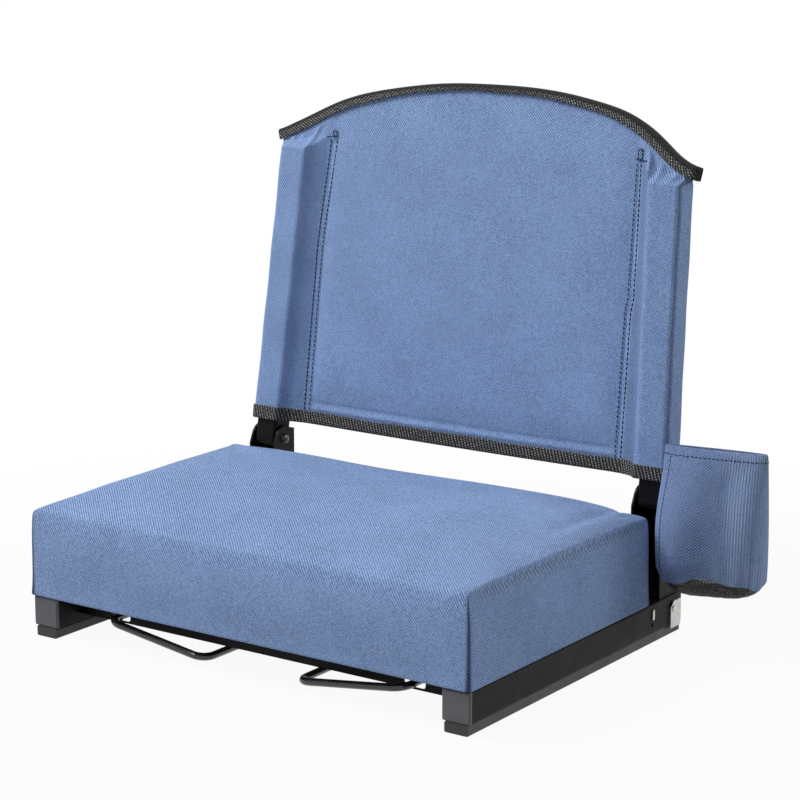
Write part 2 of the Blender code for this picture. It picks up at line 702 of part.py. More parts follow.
def hook_saddles(parent, steel, zinc):
    """Saddles screwed under the board that guide each hook's outer leg."""
    bore = WIRE_R + GAP
    outside = bore + SADDLE_T
    top = BOARD_LOW - GAP
    arc = np.radians(np.linspace(180, 360, 9))
    bowl = np.stack([np.cos(arc), np.sin(arc)], 1)
    drop = (0.0, HOOK_Z)
    profile = np.concatenate([
        [(-SADDLE_HALF, top), (-bore, top)],
        bore * bowl + drop,
        [(bore, top), (SADDLE_HALF, top), (SADDLE_HALF, top - SADDLE_T), (outside, top - SADDLE_T)],
        outside * bowl[::-1] + drop,
        [(-outside, top - SADDLE_T), (-SADDLE_HALF, top - SADDLE_T)],
    ])
    screw_x = (outside + SADDLE_HALF) / 2
    for side, sign in SIDES.items():
        placed = profile + (sign * HOOK_X, 0)
        ends = (SADDLE_Y - SADDLE_L / 2, SADDLE_Y + SADDLE_L / 2)
        saddle = loft(f"hook_saddle_{side}", [across_y(placed, y) for y in ends], steel, parent)
        for where, way in (("outer", 1), ("inner", -1)):
            place = (sign * (HOOK_X + way * screw_x), SADDLE_Y)
            seat_z = top - SADDLE_T - GAP
            saddle_screw(f"saddle_screw_{where}_{side}", place, saddle, seat_z, parent, zinc)


def saddle_screw(name, place, saddle, seat_z, parent, zinc):
    """A short screw through a saddle's flange into the board."""
    tip = BOARD_LOW + SCREW_BITE
    radius = SMALL_RIVET_R
    steps = [(tip, radius * SCREW_POINT), (tip - radius, radius), (seat_z, radius)]
    steps += [(seat_z - z, r) for z, r in dome(0.0, SMALL_HEAD_H, SMALL_HEAD_R)]
    loft(name, turned(steps, lambda ring, z: across_z(ring + place, z)), zinc, parent)
    ends = (seat_z - SADDLE_T, tip + radius)
    hole = rod(f"{name}_hole", *ends, radius + BORE_ROOM, "z", place, parent, zinc)
    cut(saddle, hole)
    BOARD_HOLES.append(hole)


# Back

def centre_x(z):
    """Distance of an upright's axis from the seat's middle at a height along the back."""
    return PIVOT_X - TAPER * z


def arch(x):
    """Height of the back's top edge: a flat-topped arch whose ends ease outwards."""
    reach = np.abs(x)
    rise = ARCH_TOP - ARCH_DROP * (reach / ARCH_REF_X) ** ARCH_POWER
    past = np.clip((reach - ARCH_REF_X) / (ARCH_END_X - ARCH_REF_X), 0, 1)
    return rise + ARCH_EASE * past ** 2


def hem(x):
    """Height of the back's bottom edge, which sags a little between the sleeves."""
    share = np.clip(np.abs(x) / (PIVOT_X - SLEEVE_TAIL), 0, 1)
    return HEM_Z - HEM_SAG * (1 - share ** 2)


def sleeve_corners():
    """Section of a sleeve about its upright: a box with a tail that runs in to the panel."""
    return np.array([
        (SLEEVE_HALF_W, -SLEEVE_HALF_D),
        (SLEEVE_HALF_W, SLEEVE_HALF_D),
        (-SLEEVE_HALF_W, SLEEVE_HALF_D),
        (-SLEEVE_TAIL, PANEL_BACK_Y),
        (-SLEEVE_TAIL, PANEL_FRONT_Y),
        (-SLEEVE_HALF_W, -SLEEVE_HALF_D),
    ])


def sleeve(side, sign, parent, cloth):
    """A cloth sleeve, open at the hem, that is pressed flat and spreads at the arched top."""
    corners = sleeve_corners()
    radii = np.array([SLEEVE_CORNER] * 3 + [TAIL_EDGE] * 2 + [SLEEVE_CORNER])
    loops = {
        "outer": rounded(corners, radii, 3, 4),
        "inner": rounded(offset(corners, -STRAP_WALL), np.maximum(radii - STRAP_WALL, GAP), 3, 4),
    }
    top_centre = centre_x(arch(ARCH_END_X))
    spread = (ARCH_END_X - GAP - top_centre + SLEEVE_TAIL) / (SLEEVE_HALF_W + SLEEVE_TAIL)

    def placed(loop, z):
        return across_z((loop + (centre_x(z), 0)) * (sign, 1), z)

    def pressed(loop, below, wall):
        low, high = PANEL_FRONT_Y + wall, PANEL_BACK_Y - wall
        across = (loop[:, 0] + SLEEVE_TAIL) * spread - SLEEVE_TAIL
        x = across + top_centre
        flat = np.column_stack([x * sign, np.clip(loop[:, 1], low, high)])
        return across_z(flat, arch(x) - below)

    under_binding = BINDING_H + 2 * GAP
    under_top = BINDING_WALL + GAP
    rings = {}
    for name, loop in loops.items():
        wall = STRAP_WALL if name == "inner" else 0.0
        rings[name] = [
            placed(loop, HEM_Z),
            placed(loop, SLEEVE_FULL_TOP),
            pressed(loop, under_binding, wall),
            pressed(loop, under_top + wall, wall),
        ]
    outer_edge_middle = 6
    shell(f"sleeve_{side}", rings["outer"], rings["inner"], cloth, parent, True, 30, outer_edge_middle)


def back_panel(parent, cloth, foam):
    """Front cloth, pad and rear cloth between the sleeves' tails, swelling a little in the middle."""
    margin = 1.3 * BINDING_H / ARCH_TOP
    levels = np.concatenate([[0], np.linspace(margin, 1 - margin, 6), [1]])
    columns, rows = np.meshgrid(np.linspace(-1, 1, 17), levels)

    def sheet(depth, swell):
        half = PIVOT_X - SLEEVE_TAIL - GAP
        top_half = half - TAPER * (ARCH_TOP - HEM_Z)
        x_low = columns * half
        x_top = columns * top_half
        low = hem(x_low)
        high = arch(x_top) - BINDING_WALL - GAP
        z = low + (high - low) * rows
        x = columns * (half - TAPER * z)
        free = np.clip((2 * rows - 1) / (1 - 2 * margin), -1, 1)
        bulge = swell * (1 - columns ** 4) * (1 - free ** 4)
        return np.stack([x, depth - bulge, z], -1)

    layers = (
        ("back_panel_front", cloth, PANEL_FRONT_Y, CLOTH_T, PAD_SWELL, PAD_SWELL),
        ("back_pad", foam, PANEL_FRONT_Y + CLOTH_T + GAP, PAD_T, PAD_SWELL, 0.0),
        ("back_panel_rear", cloth, PANEL_BACK_Y - CLOTH_T, CLOTH_T, 0.0, 0.0),
    )
    for name, material, depth, thickness, front_swell, back_swell in layers:
        slab(name, sheet(depth, front_swell), sheet(depth + thickness, back_swell), material, parent)


def top_binding(parent, webbing):
    """Webbing folded over the arched top edge: a turned-down channel carried along the arch."""
    inside = PANEL_T / 2 + GAP
    outside = inside + BINDING_WALL
    middle = PANEL_FRONT_Y + PANEL_T / 2
    profile = np.array([
        (-outside, -BINDING_H),
        (-outside, 0.0),
        (outside, 0.0),
        (outside, -BINDING_H),
        (inside, -BINDING_H),
        (inside, -BINDING_WALL),
        (-inside, -BINDING_WALL),
        (-inside, -BINDING_H),
    ]) + (middle, 0)
    stations = ARCH_END_X * np.sin(np.radians(np.linspace(-90, 90, 45)))
    rings = [across_x(profile + (0, arch(x)), x) for x in stations]
    loft("top_binding", rings, webbing, parent, 50)


def bottom_binding(parent, webbing):
    """A webbing band round the whole bottom edge: both sleeves' sections joined along the panel."""
    corners = sleeve_corners()
    right = np.concatenate([corners[5:], corners[:3]])
    tails = [(-SLEEVE_TAIL, PANEL_BACK_Y), (-SLEEVE_TAIL, PANEL_FRONT_Y)]
    right = np.concatenate([tails[1:], right, tails[:1]])

    def band(grow, z_at):
        half = right + (centre_x(HEM_Z), 0)
        whole = np.concatenate([half, half[::-1] * (-1, 1)])
        radii = np.where(np.abs(whole[:, 0]) > PIVOT_X - SLEEVE_TAIL, SLEEVE_CORNER + grow, TAIL_EDGE)
        loop = rounded(offset(whole, grow), radii, 3, 5)
        return across_z(loop, z_at(loop[:, 0]))

    grow = GAP + BINDING_WALL
    levels = (lambda x: hem(x), lambda x: hem(x) + BINDING_H)
    outer = [band(grow, level) for level in levels]
    inner = [band(GAP, level) for level in levels]
    shell("bottom_binding", outer, inner, webbing, parent, smooth_angle=50)


def uprights(parent, steel, plastic):
    """Rectangular tubes, round at the pivot and plugged at the top, tipped in towards the top."""
    outer = rounded(rectangle(TUBE_W, TUBE_D), TUBE_CORNER)
    bore = rectangle(TUBE_W - 2 * TUBE_WALL, TUBE_D - 2 * TUBE_WALL)
    inner = rounded(bore, TUBE_CORNER - TUBE_WALL / 2)
    arc = np.radians(np.linspace(180, 360, 13))
    foot = (TUBE_D / 2 + GAP) * np.stack([np.cos(arc), np.sin(arc)], 1)
    tall = 2 * UPRIGHT_TOP
    above = [(TUBE_D, 0.0), (TUBE_D, tall), (-TUBE_D, tall), (-TUBE_D, 0.0)]
    outline = np.concatenate([foot, above])
    plug_rect = rectangle(TUBE_W - 2 * TUBE_WALL - 2 * GAP, TUBE_D - 2 * TUBE_WALL - 2 * GAP)
    for side, sign in SIDES.items():
        tip = math.atan(TAPER)
        carrier = add_empty(f"upright_axis_{side}", (sign * PIVOT_X, 0, 0), parent, (0, -sign * tip, 0))
        ends = (-TUBE_D, UPRIGHT_TOP)
        loops = [[across_z(loop, z) for z in ends] for loop in (outer, inner)]
        upright = shell(f"upright_{side}", *loops, steel, carrier)
        reach = (-TUBE_W, TUBE_W)
        round_foot = [across_x(outline, x) for x in reach]
        cut(upright, loft(f"upright_foot_{side}", round_foot, steel, carrier), "INTERSECT")
        bore_r = RIVET_R + 2 * BORE_ROOM
        cut(upright, rod(f"upright_bore_{side}", *reach, bore_r, "x", (0, 0), carrier, steel))
        start = UPRIGHT_TOP + GAP
        steps = (
            (start + PLUG_FACE, offset(rectangle(TUBE_W, TUBE_D), -CAP_EDGE), TUBE_CORNER),
            (start + PLUG_FACE - CAP_EDGE, rectangle(TUBE_W, TUBE_D), TUBE_CORNER),
            (start, rectangle(TUBE_W, TUBE_D), TUBE_CORNER),
            (start, plug_rect, TUBE_CORNER - TUBE_WALL / 2),
            (start - PLUG_DEPTH, plug_rect, TUBE_CORNER - TUBE_WALL / 2),
        )
        rings = [across_z(rounded(corners, r), z) for z, corners, r in steps]
        loft(f"upright_plug_{side}", rings, plastic, carrier)


# Cup holder

CUP_SHARES = np.array([0.0, 0.08, 0.2, 0.4, 0.6, 0.8, 0.93, 1.0])
CUP_ANGLES = np.arange(36) * 2 * math.pi / 36


def cup_ring(share, shrink, angle=CUP_ANGLES, apart=0.0):
    """Points of the pouch about its own axis at a height share, from the hem (0) to the rim (1).

    A superellipse: nearly round in the body, pressed flat at the rim, drawn in at the hem, with
    soft folds that fade upwards.
    """
    draw = 1 - CUP_DRAW * (1 - share) ** 5
    half_w = (CUP_HALF_W + (CUP_RIM_HALF_W - CUP_HALF_W) * share ** 2) * draw - shrink
    half_d = (CUP_RIM_HALF_D + (CUP_HALF_D - CUP_RIM_HALF_D) * (1 - share ** 2.2)) * draw - shrink
    unit = np.stack([np.cos(angle), np.sin(angle)], 1)
    plan = np.sign(unit) * np.abs(unit) ** (2 / CUP_ROUND) * (half_w, half_d)
    fold = CUP_FOLD_DEPTH * (1 - share) ** 2 * (np.cos(CUP_FOLDS * angle) - 1)
    plan = plan + unit * fold[:, None] + (0, apart)
    c, s = math.cos(CUP_TURN), math.sin(CUP_TURN)
    return plan @ np.array([(c, s), (-s, c)])


def cup_reach(way):
    """How far the pouch reaches from its axis to the left (-1) or right (1)."""
    return max((way * cup_ring(share, 0.0)[:, 0]).max() for share in CUP_SHARES)


def cup_centre():
    """Where the pouch's axis stands so that its widest ring just clears the tab."""
    return np.array([TAB_X + TAB_T + GAP + cup_reach(-1), CUP_Y])


def tab_rivet_place():
    """Centre of the tab's rivet, near the tab's rear edge where the pouch curves away."""
    return np.array([CUP_Y + TAB_W / 6, TAB_LOW_Z + TAB_H / 4])


def cup_holder(parent, cloth, mesh, webbing, zinc):
    """A pouch sewn from two halves, with a mesh bottom, on a tab riveted to the right bracket."""
    place = cup_centre()

    def wall(angle, shrink, apart):
        rows = []
        for share in CUP_SHARES:
            wave = CUP_HEM_WAVE * (1 - share) ** 3 * np.sin(3 * angle)
            z = CUP_LOW_Z + (CUP_RIM_Z - CUP_LOW_Z) * share + wave
            rows.append(across_z(cup_ring(share, shrink, angle, apart) + place, z))
        return np.stack(rows)

    for half, start, way in (("rear", 0.0, 1), ("front", math.pi, -1)):
        angle = start + np.linspace(0, math.pi, 19)
        apart = way * GAP / 2
        slab(f"cup_pouch_{half}", wall(angle, 0.0, apart), wall(angle, CUP_WALL, apart), cloth, parent)

    rim_z = CUP_LOW_Z + MESH_OVERLAP
    drop = MESH_OVERLAP + MESH_SAG
    arc = np.radians([0, 35, 58, 74, 84])
    room = CUP_WALL + GAP

    def bowl(shrink, depth):
        plan = cup_ring(0.0, shrink)
        return [across_z(plan * math.cos(a) ** 0.4 + place, rim_z - depth * math.sin(a)) for a in arc]

    walls = (bowl(room, drop), bowl(room + MESH_T, drop - MESH_T))
    shell("cup_mesh", *walls, mesh, parent, closed_top=True)

    outline = rounded(rectangle(TAB_W, TAB_H, (CUP_Y - TAB_W / 6, TAB_LOW_Z + TAB_H / 2)), TAB_T)
    layers = (TAB_X, TAB_X + TAB_T)
    tab = loft("cup_tab", [across_x(outline, x) for x in layers], webbing, parent)
    centre = tab_rivet_place()
    reach = (TAB_X - TAB_T, TAB_X + 2 * TAB_T)
    cut(tab, rod("tab_hole", *reach, SMALL_RIVET_R + BORE_ROOM, "x", centre, parent, webbing))
    head = TAB_X + TAB_T + GAP
    inner_face = PIVOT_X + EAR_INSIDE
    steps = [(inner_face, SMALL_RIVET_R), (head, SMALL_RIVET_R)]
    steps += dome(head, SMALL_HEAD_H, SMALL_HEAD_R)
    loft("cup_tab_rivet", [across_x(circle(r) + centre, x) for x, r in steps], zinc, parent)


# Assembly

def reference_point():
    """Where the seat's own zero lies when the middle of its footprint is at the origin."""
    cup_right = cup_centre()[0] + cup_reach(1)
    back_depth = PANEL_BACK_Y + GAP + BINDING_WALL
    rear = PIVOT_Y + back_depth * math.cos(LEAN) + ARCH_TOP * math.sin(LEAN)
    return (-(cup_right - ARCH_END_X) / 2, -(rear + SEAT_FRONT) / 2, 0.0)


def main():
    for item in list(bpy.data.objects):
        bpy.data.objects.remove(item, do_unlink=True)

    steel = finish("black_powder_coat", srgb(34, 35, 37), 0.45, 0.3)
    plastic = finish("grey_black_plastic", srgb(62, 63, 67), 0.55)
    rubber = finish("foot_plastic", srgb(52, 53, 56), 0.6)
    zinc = finish("zinc_plate", srgb(170, 170, 168), 0.35, 0.9)
    black_rivet = finish("black_rivet", srgb(30, 30, 32), 0.3, 0.4)
    wire = finish("black_wire", srgb(18, 18, 19), 0.3, 0.2)
    nylon = finish("white_nylon", srgb(205, 204, 198), 0.5)
    wood = finish("plywood", srgb(176, 142, 98), 0.7)
    firm_foam = finish("firm_foam", srgb(214, 206, 178), 0.9)
    soft_foam = finish("soft_foam", srgb(226, 220, 198), 0.9)
    cloth = finish("blue_cloth", srgb(104, 127, 168), 0.85)
    webbing = finish("black_webbing", srgb(38, 38, 40), 0.8)
    mesh = finish("black_mesh", srgb(28, 29, 31), 0.7)

    seat = add_empty("seat_zero", reference_point())
    rails(seat, steel, plastic, rubber)
    cross_angles(seat, steel, zinc)
    hook_saddles(seat, steel, zinc)
    seat_stack(seat, cloth, firm_foam, soft_foam, wood)
    brackets(seat, steel, black_rivet, nylon)
    zinc_details(seat, zinc)
    cup_holder(seat, cloth, mesh, webbing, zinc)
    for side, sign in SIDES.items():
        droop = (0, -sign * HOOK_DROOP, 0)
        axis = add_empty(f"hook_axis_{side}", (sign * HOOK_X, 0, HOOK_Z), seat, droop)
        hook(side, sign, axis, wire, zinc)
    back = add_empty("back_pivot", (0, PIVOT_Y, PIVOT_Z), seat, (-LEAN, 0, 0))
    uprights(back, steel, plastic)
    for side, sign in SIDES.items():
        sleeve(side, sign, back, cloth)
    back_panel(back, cloth, soft_foam)
    top_binding(back, webbing)
    bottom_binding(back, webbing)


main()
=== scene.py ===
"""Looks of the folding bleacher seat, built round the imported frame.

The seat faces -Y.  Its own measures count X from its middle, Y from the rails' front ends and Z
from the floor.  The back's own measures count x across, y behind and z along the back from the
pivots, and lean with it.
"""

import math

import bmesh
import bpy
import numpy as np
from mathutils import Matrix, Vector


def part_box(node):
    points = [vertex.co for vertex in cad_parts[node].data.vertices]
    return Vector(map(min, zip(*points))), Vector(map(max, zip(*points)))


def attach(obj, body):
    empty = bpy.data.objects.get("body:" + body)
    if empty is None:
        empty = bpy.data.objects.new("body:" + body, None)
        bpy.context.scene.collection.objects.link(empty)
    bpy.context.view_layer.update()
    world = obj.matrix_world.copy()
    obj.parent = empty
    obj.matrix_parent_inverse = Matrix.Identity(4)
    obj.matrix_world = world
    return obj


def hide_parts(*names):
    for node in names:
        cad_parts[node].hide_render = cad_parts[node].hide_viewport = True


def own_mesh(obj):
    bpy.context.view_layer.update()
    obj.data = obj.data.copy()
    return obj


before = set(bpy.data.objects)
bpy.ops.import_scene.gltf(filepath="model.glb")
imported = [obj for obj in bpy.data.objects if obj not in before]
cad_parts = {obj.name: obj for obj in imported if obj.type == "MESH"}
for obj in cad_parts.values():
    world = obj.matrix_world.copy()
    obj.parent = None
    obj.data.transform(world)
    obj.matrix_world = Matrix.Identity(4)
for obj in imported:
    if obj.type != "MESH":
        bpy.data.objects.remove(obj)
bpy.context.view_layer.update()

# Places taken from the frame
MID_X = (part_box("rail_left")[0].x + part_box("rail_right")[1].x) / 2
FRONT_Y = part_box("rail_front_cap_left")[0].y
PIVOT = (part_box("pivot_rivet_left")[0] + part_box("pivot_rivet_left")[1]) / 2
SEAT_ORIGIN = np.array([MID_X, FRONT_Y, 0.0])

# Cushion, in the seat's own measures
SEAT_HALF_W = 0.2238
SEAT_FRONT = -0.001
SEAT_REAR = 0.270
SEAT_LOW = 0.0356
SEAT_SEAM_Z = 0.1078
SEAT_ROLL = 0.0057
SEAT_ROLL_W = 0.013
SEAT_FLARE = 0.0012
SEAT_SEAM_IN = 0.002
SEAT_PULL = 0.0018
SEAT_REAR_LIFT = 0.0036
SEAT_RIGHT_TILT = 0.0028
SEAT_FACE_SWELL = 0.0022
SEAT_SIDE_SWELL = 0.0026
SEAM_PINCH = 0.0016
CROWN = 0.0120
REAR_DIP = 0.0030
REAR_EAR = 0.0026
GROOVE = 0.0052
GROOVE_IN = 0.022
GROOVE_W = 0.0070
FOLD_TIGHT = 0.0025
FOLD_SOFT = 0.0105
HEM_UNDER = 0.0260
HEM_THICK = 0.0015
POCKET_IN = 0.0060
POCKET_TOP = 0.0477
HEM_ROUND = 0.001
STUFFING_REACH = 0.005
STUFFING_FRAMES = 20

# Grid steps of the cushion across, from front to rear, and upwards
SEAT_WIDE = 84
SEAT_DEEP = 60
SEAT_TALL = 18

# Back, in its own measures
LEAN = math.radians(7.28)
PIVOT_X = 0.2055
TAPER = 0.0424
SLEEVE_HALF_W = 0.01285
SLEEVE_HALF_D = 0.0131
SLEEVE_FULL_TOP = {-1: 0.2705, 1: 0.2645}
PANEL_FRONT = 0.0004
PANEL_BACK = 0.0074
HEM_Z = 0.019
HEM_SAG = 0.0009
BINDING_H = 0.011
BINDING_GROW = 0.0012
TOP_WEBBING_T = 0.0010
BOTTOM_WEBBING_T = 0.0009
TOP_LEAF = 0.0050
TOP_LEAF_GROW = 0.0056
TOP_FOLD = 0.0022
TOP_END_PRESSED = 0.0060
ARCH_TOP = 0.3395
ARCH_DROP = 0.0415
ARCH_REF_X = 0.191
ARCH_END_X = 0.2212
STITCH_IN = 0.1646
STITCH_LEAN = 0.0155
STITCH_APART = 0.0055
BAR_Z = 0.2845
BAR_PITCH = 0.0031
BAR_REACH = {-1: 0.0125, 1: 0.0165}
BAR_OUT = {-1: 0.0036, 1: 0.0046}
BOX_SHARE = {-1: 0.55, 1: 1.0}
PAD_SWELL = 0.0022
PANEL_UNDER_TOP = 0.0022
PANEL_OVER_HEM = 0.0012
LAP = 0.0022
LAP_SINK = 0.0016
STRIP_PAST = 0.0010
SLEEVE_OVER_FRONT = 0.0010
SLEEVE_OVER_BACK = 0.0009
SLEEVE_FLAT_OVER = 0.0011
SLEEVE_END_IN = {-1: 0.0020, 1: 0.0105}
SLEEVE_HIGH_Z = 0.283
SLEEVE_UNDER_TOP = 0.0026
SLEEVE_SLACK = 0.0008
FACET_IN = 0.0080
FACET_DEEP = 0.0052
CREASE_IN = 0.0022
SLEEVE_TUCKS = {
    -1: ((0.42, -0.14, 0.040, 0.0026), (0.58, 0.05, 0.035, 0.0022), (0.72, 0.10, 0.035, 0.0024)),
    1: ((0.36, -0.16, 0.055, 0.0034), (0.54, -0.05, 0.050, 0.0024), (0.76, 0.10, 0.050, 0.0030)),
}
CLOTH_T = 0.0009

# Cup holder, hung a little forward of the CAD pouch
CUP_FORWARD = 0.0130
CUP_MIDDLE = np.array([
    (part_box("cup_pouch_front")[0].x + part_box("cup_pouch_front")[1].x) / 2,
    (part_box("cup_pouch_front")[0].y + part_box("cup_pouch_rear")[1].y) / 2 - CUP_FORWARD,
])
CUP_TURN = math.radians(13.2)
CUP_LOW_Z = 0.0548
CUP_RIM_Z = 0.1705
CUP_HALF_W = 0.0453
CUP_RIM_HALF_W = 0.0438
CUP_HALF_D = 0.0258
CUP_RIM_HALF_D = 0.0042
CUP_ROUND = 2.4
CUP_DRAW = 0.09
CUP_HEM_SHARE = 0.9395
CUP_BELLY = np.array([-0.0004, -0.0102])
CUP_DENT = 0.0075
CUP_NET_TOP = 0.0125
CUP_NET_SINK = 0.0200
CUP_NET_ROUND = 0.32
NET_T = 0.0006

# Stitches
STITCH_PITCH = 0.0042
STITCH_LENGTH = 0.0034
STITCH_RADIUS = 0.00058
CUP_STITCH_PITCH = 0.0036
CUP_STITCH_LENGTH = 0.0029
CUP_STITCH_RADIUS = 0.00042

# Depths and pitches of the finishes
WEAVE_PITCH = 0.00088
POUCH_PITCH = 0.0009
WEAVE_DEPTH = 0.00034
PUCKER_PITCH = 0.0045
PUCKER_DEPTH = 0.0007
POUCH_RIB_PITCH = 0.0024
POUCH_RIB_DEPTH = 0.00025
WEBBING_DEPTH = 0.0005
NET_PITCH = 0.0019
NET_OPEN = 0.50
NET_DEPTH = 0.0003
BOARD_DEPTH = 0.0002
GRAIN_DEPTH = 0.00004
WIRE_DEPTH = 0.00002

# Floor
FLOOR_HALF = 6.0
FLOOR_DROP = 0.0004

# Camera, in the seat's own measures, as the photo's edges place it
CAMERA_PLACE = np.array([1.1896, -1.4667, 0.6416])
CAMERA_LENS_MM = 110.81
CAMERA_SENSOR_MM = 36.0
CAMERA_DOWN = math.radians(12.245)
CAMERA_TURN = math.radians(35.112)


def screen(*levels):
    """A colour given by 0 to 255 screen levels, as linear values with full alpha."""
    c = np.array(levels) / 255
    linear = np.where(c <= 0.04045, c / 12.92, ((c + 0.055) / 1.055) ** 2.4)
    return (*linear.tolist(), 1.0)


def ease(t):
    """A share from 0 to 1 that starts and ends level: 3t^2 - 2t^3 with t held between 0 and 1."""
    t = np.clip(t, 0, 1)
    return t * t * (3 - 2 * t)


def bell(t):
    """A hump that is one at zero and fades on both sides: exp(-t^2)."""
    return np.exp(-t ** 2)


def crowded(count, pull):
    """Shares from 0 to 1 that crowd towards both ends: s - pull * sin(2 pi s) / (2 pi)."""
    s = np.linspace(0, 1, count)
    return s - pull * np.sin(2 * np.pi * s) / (2 * np.pi)


def unit(vectors):
    """Vectors of length one in the same directions."""
    return vectors / np.linalg.norm(vectors, axis=-1, keepdims=True)


def from_seat(points):
    """Points in the seat's own measures, in the frame."""
    return points + SEAT_ORIGIN


def from_back(points):
    """Points in the back's own measures, leant back about the pivots, in the frame."""
    x, y, z = np.moveaxis(points, -1, 0)
    c, s = math.cos(LEAN), math.sin(LEAN)
    return np.stack([MID_X + x, PIVOT.y + y * c + z * s, PIVOT.z - y * s + z * c], -1)


# Meshes

def wrapped(grid):
    """A grid with its first column once more after its last."""
    return np.concatenate([grid, grid[:, :1]], 1)


def grid_faces(rows, columns, wrap=False):
    """Quads of a grid of points counted row by row, joined round its columns if it wraps."""
    index = np.arange(rows * columns).reshape(rows, columns)
    if wrap:
        index = wrapped(index)
    corners = [index[:-1, :-1], index[:-1, 1:], index[1:, 1:], index[1:, :-1]]
    return np.stack(corners, -1).reshape(-1, 4)


def along(points, axis):
    """Distance run along one axis of a grid of points, from that axis's first points."""
    step = np.linalg.norm(np.diff(points, axis=axis), axis=-1)
    first = np.zeros_like(np.take(step, [0], axis))
    return np.cumsum(np.concatenate([first, step], axis), axis)


def read_off(path, distance, places):
    """Points of a path at given distances along it, by straight interpolation."""
    return np.stack([np.interp(places, distance, path[:, k]) for k in range(path.shape[1])], -1)


def fill_panel(low, high, first, last, u, v):
    """A panel between four edges by transfinite interpolation.

    low and high run along u, first and last along v.  The two straight blends between opposite
    edges are added and the blend of the four corners is taken off.
    """
    u, v = u[:, None, None], v[None, :, None]
    grid = (1 - v) * low[:, None] + v * high[:, None] + (1 - u) * first[None] + u * last[None]
    return grid - (1 - u) * ((1 - v) * low[0] + v * high[0]) - u * ((1 - v) * low[-1] + v * high[-1])


def add_item(name, data):
    """An object in the scene that shows a mesh, a lamp or a camera."""
    item = bpy.data.objects.new(name, data)
    bpy.context.scene.collection.objects.link(item)
    return item


def add_piece(name, points, faces, uv, material, merge=0.0):
    """A smooth mesh piece with its place in its points and a UV map in metres.

    uv holds one pair for each corner of each face.  Where merge is given, points closer than it
    become one and the faces are turned outwards.
    """
    mesh = bpy.data.meshes.new(name)
    mesh.from_pydata(points.reshape(-1, 3).tolist(), [], faces)
    layer = mesh.uv_layers.new(name="cloth")
    layer.data.foreach_set("uv", np.asarray(uv, np.float32).ravel())
    if merge:
        shape = bmesh.new()
        shape.from_mesh(mesh)
        bmesh.ops.remove_doubles(shape, verts=shape.verts, dist=merge)
        bmesh.ops.recalc_face_normals(shape, faces=shape.faces)
        shape.to_mesh(mesh)
        shape.free()
    mesh.shade_smooth()
    mesh.materials.append(material)
    return add_item(name, mesh)


def add_sheet(name, points, uv, material, wrap=False, flip=False, merge=0.0):
    """A piece from one grid of points with a UV pair each; a wrapped grid's UV has a column more."""
    rows, columns = points.shape[:2]
    faces = grid_faces(rows, columns, wrap)
    corners = grid_faces(rows, columns + 1) if wrap else faces
    if flip:
        faces, corners = faces[:, ::-1], corners[:, ::-1]
    return add_piece(name, points, faces.tolist(), uv.reshape(-1, 2)[corners], material, merge)


class Patchwork:
    """Grids of points joined into one mesh, with a UV pair for each point."""

    def __init__(self):
        self.points, self.faces, self.uv, self.count = [], [], [], 0

    def add(self, grid, uv, wrap=False):
        quads = grid_faces(*grid.shape[:2], wrap)
        self.points.append(grid.reshape(-1, 3))
        self.faces.extend((quads + self.count).tolist())
        self.uv.append(uv.reshape(-1, 2)[quads].reshape(-1, 2))
        self.count += len(self.points[-1])


def mark(piece, label, values):
    """Keeps a value for each of a piece's points, which its finish reads."""
    attribute = piece.data.attributes.new(label, "FLOAT", "POINT")
    attribute.data.foreach_set("value", values.astype(np.float32).ravel())


def thicken(piece, thickness):
    """Gives a sheet its thickness inwards, with closed edges."""
    modifier = piece.modifiers.new("thickness", "SOLIDIFY")
    modifier.thickness = thickness
    modifier.offset = -1.0


def refine(piece):
    """Rounds a piece off with one subdivision."""
    modifier = piece.modifiers.new("rounding", "SUBSURF")
    modifier.levels = 1
    modifier.render_levels = 1


def rounded_path(corners, radii, arc=5, edge=6):
    """Points along bent paths, one path for each row, with each inner corner turned into an arc.

    corners has rows of (x, y) corner points.  An arc is a quadratic curve that leaves the edges
    at a radius from the corner, and every edge has evenly spaced points.
    """
    ends = corners[:, [0, -1]]
    inner = corners[:, 1:-1]
    before = corners[:, :-2] - inner
    after = corners[:, 2:] - inner
    reach = np.asarray(radii)[None, :, None]
    start, stop = inner + unit(before) * reach, inner + unit(after) * reach
    t = np.linspace(0, 1, arc + 1)[:, None]
    curve = (1 - t) ** 2 * start[:, :, None] + t ** 2 * stop[:, :, None]
    curve = curve + 2 * t * (1 - t) * inner[:, :, None]
    leave = np.concatenate([ends[:, :1], stop], 1)
    arrive = np.concatenate([start, ends[:, 1:]], 1)
    s = np.linspace(0, 1, edge + 1)[1:-1, None]
    straight = leave[:, :, None] + s * (arrive - leave)[:, :, None]
    pieces = [ends[:, :1]]
    for k in range(straight.shape[1]):
        pieces.append(straight[:, k])
        pieces.append(curve[:, k] if k < curve.shape[1] else ends[:, 1:])
    return np.concatenate(pieces, 1)


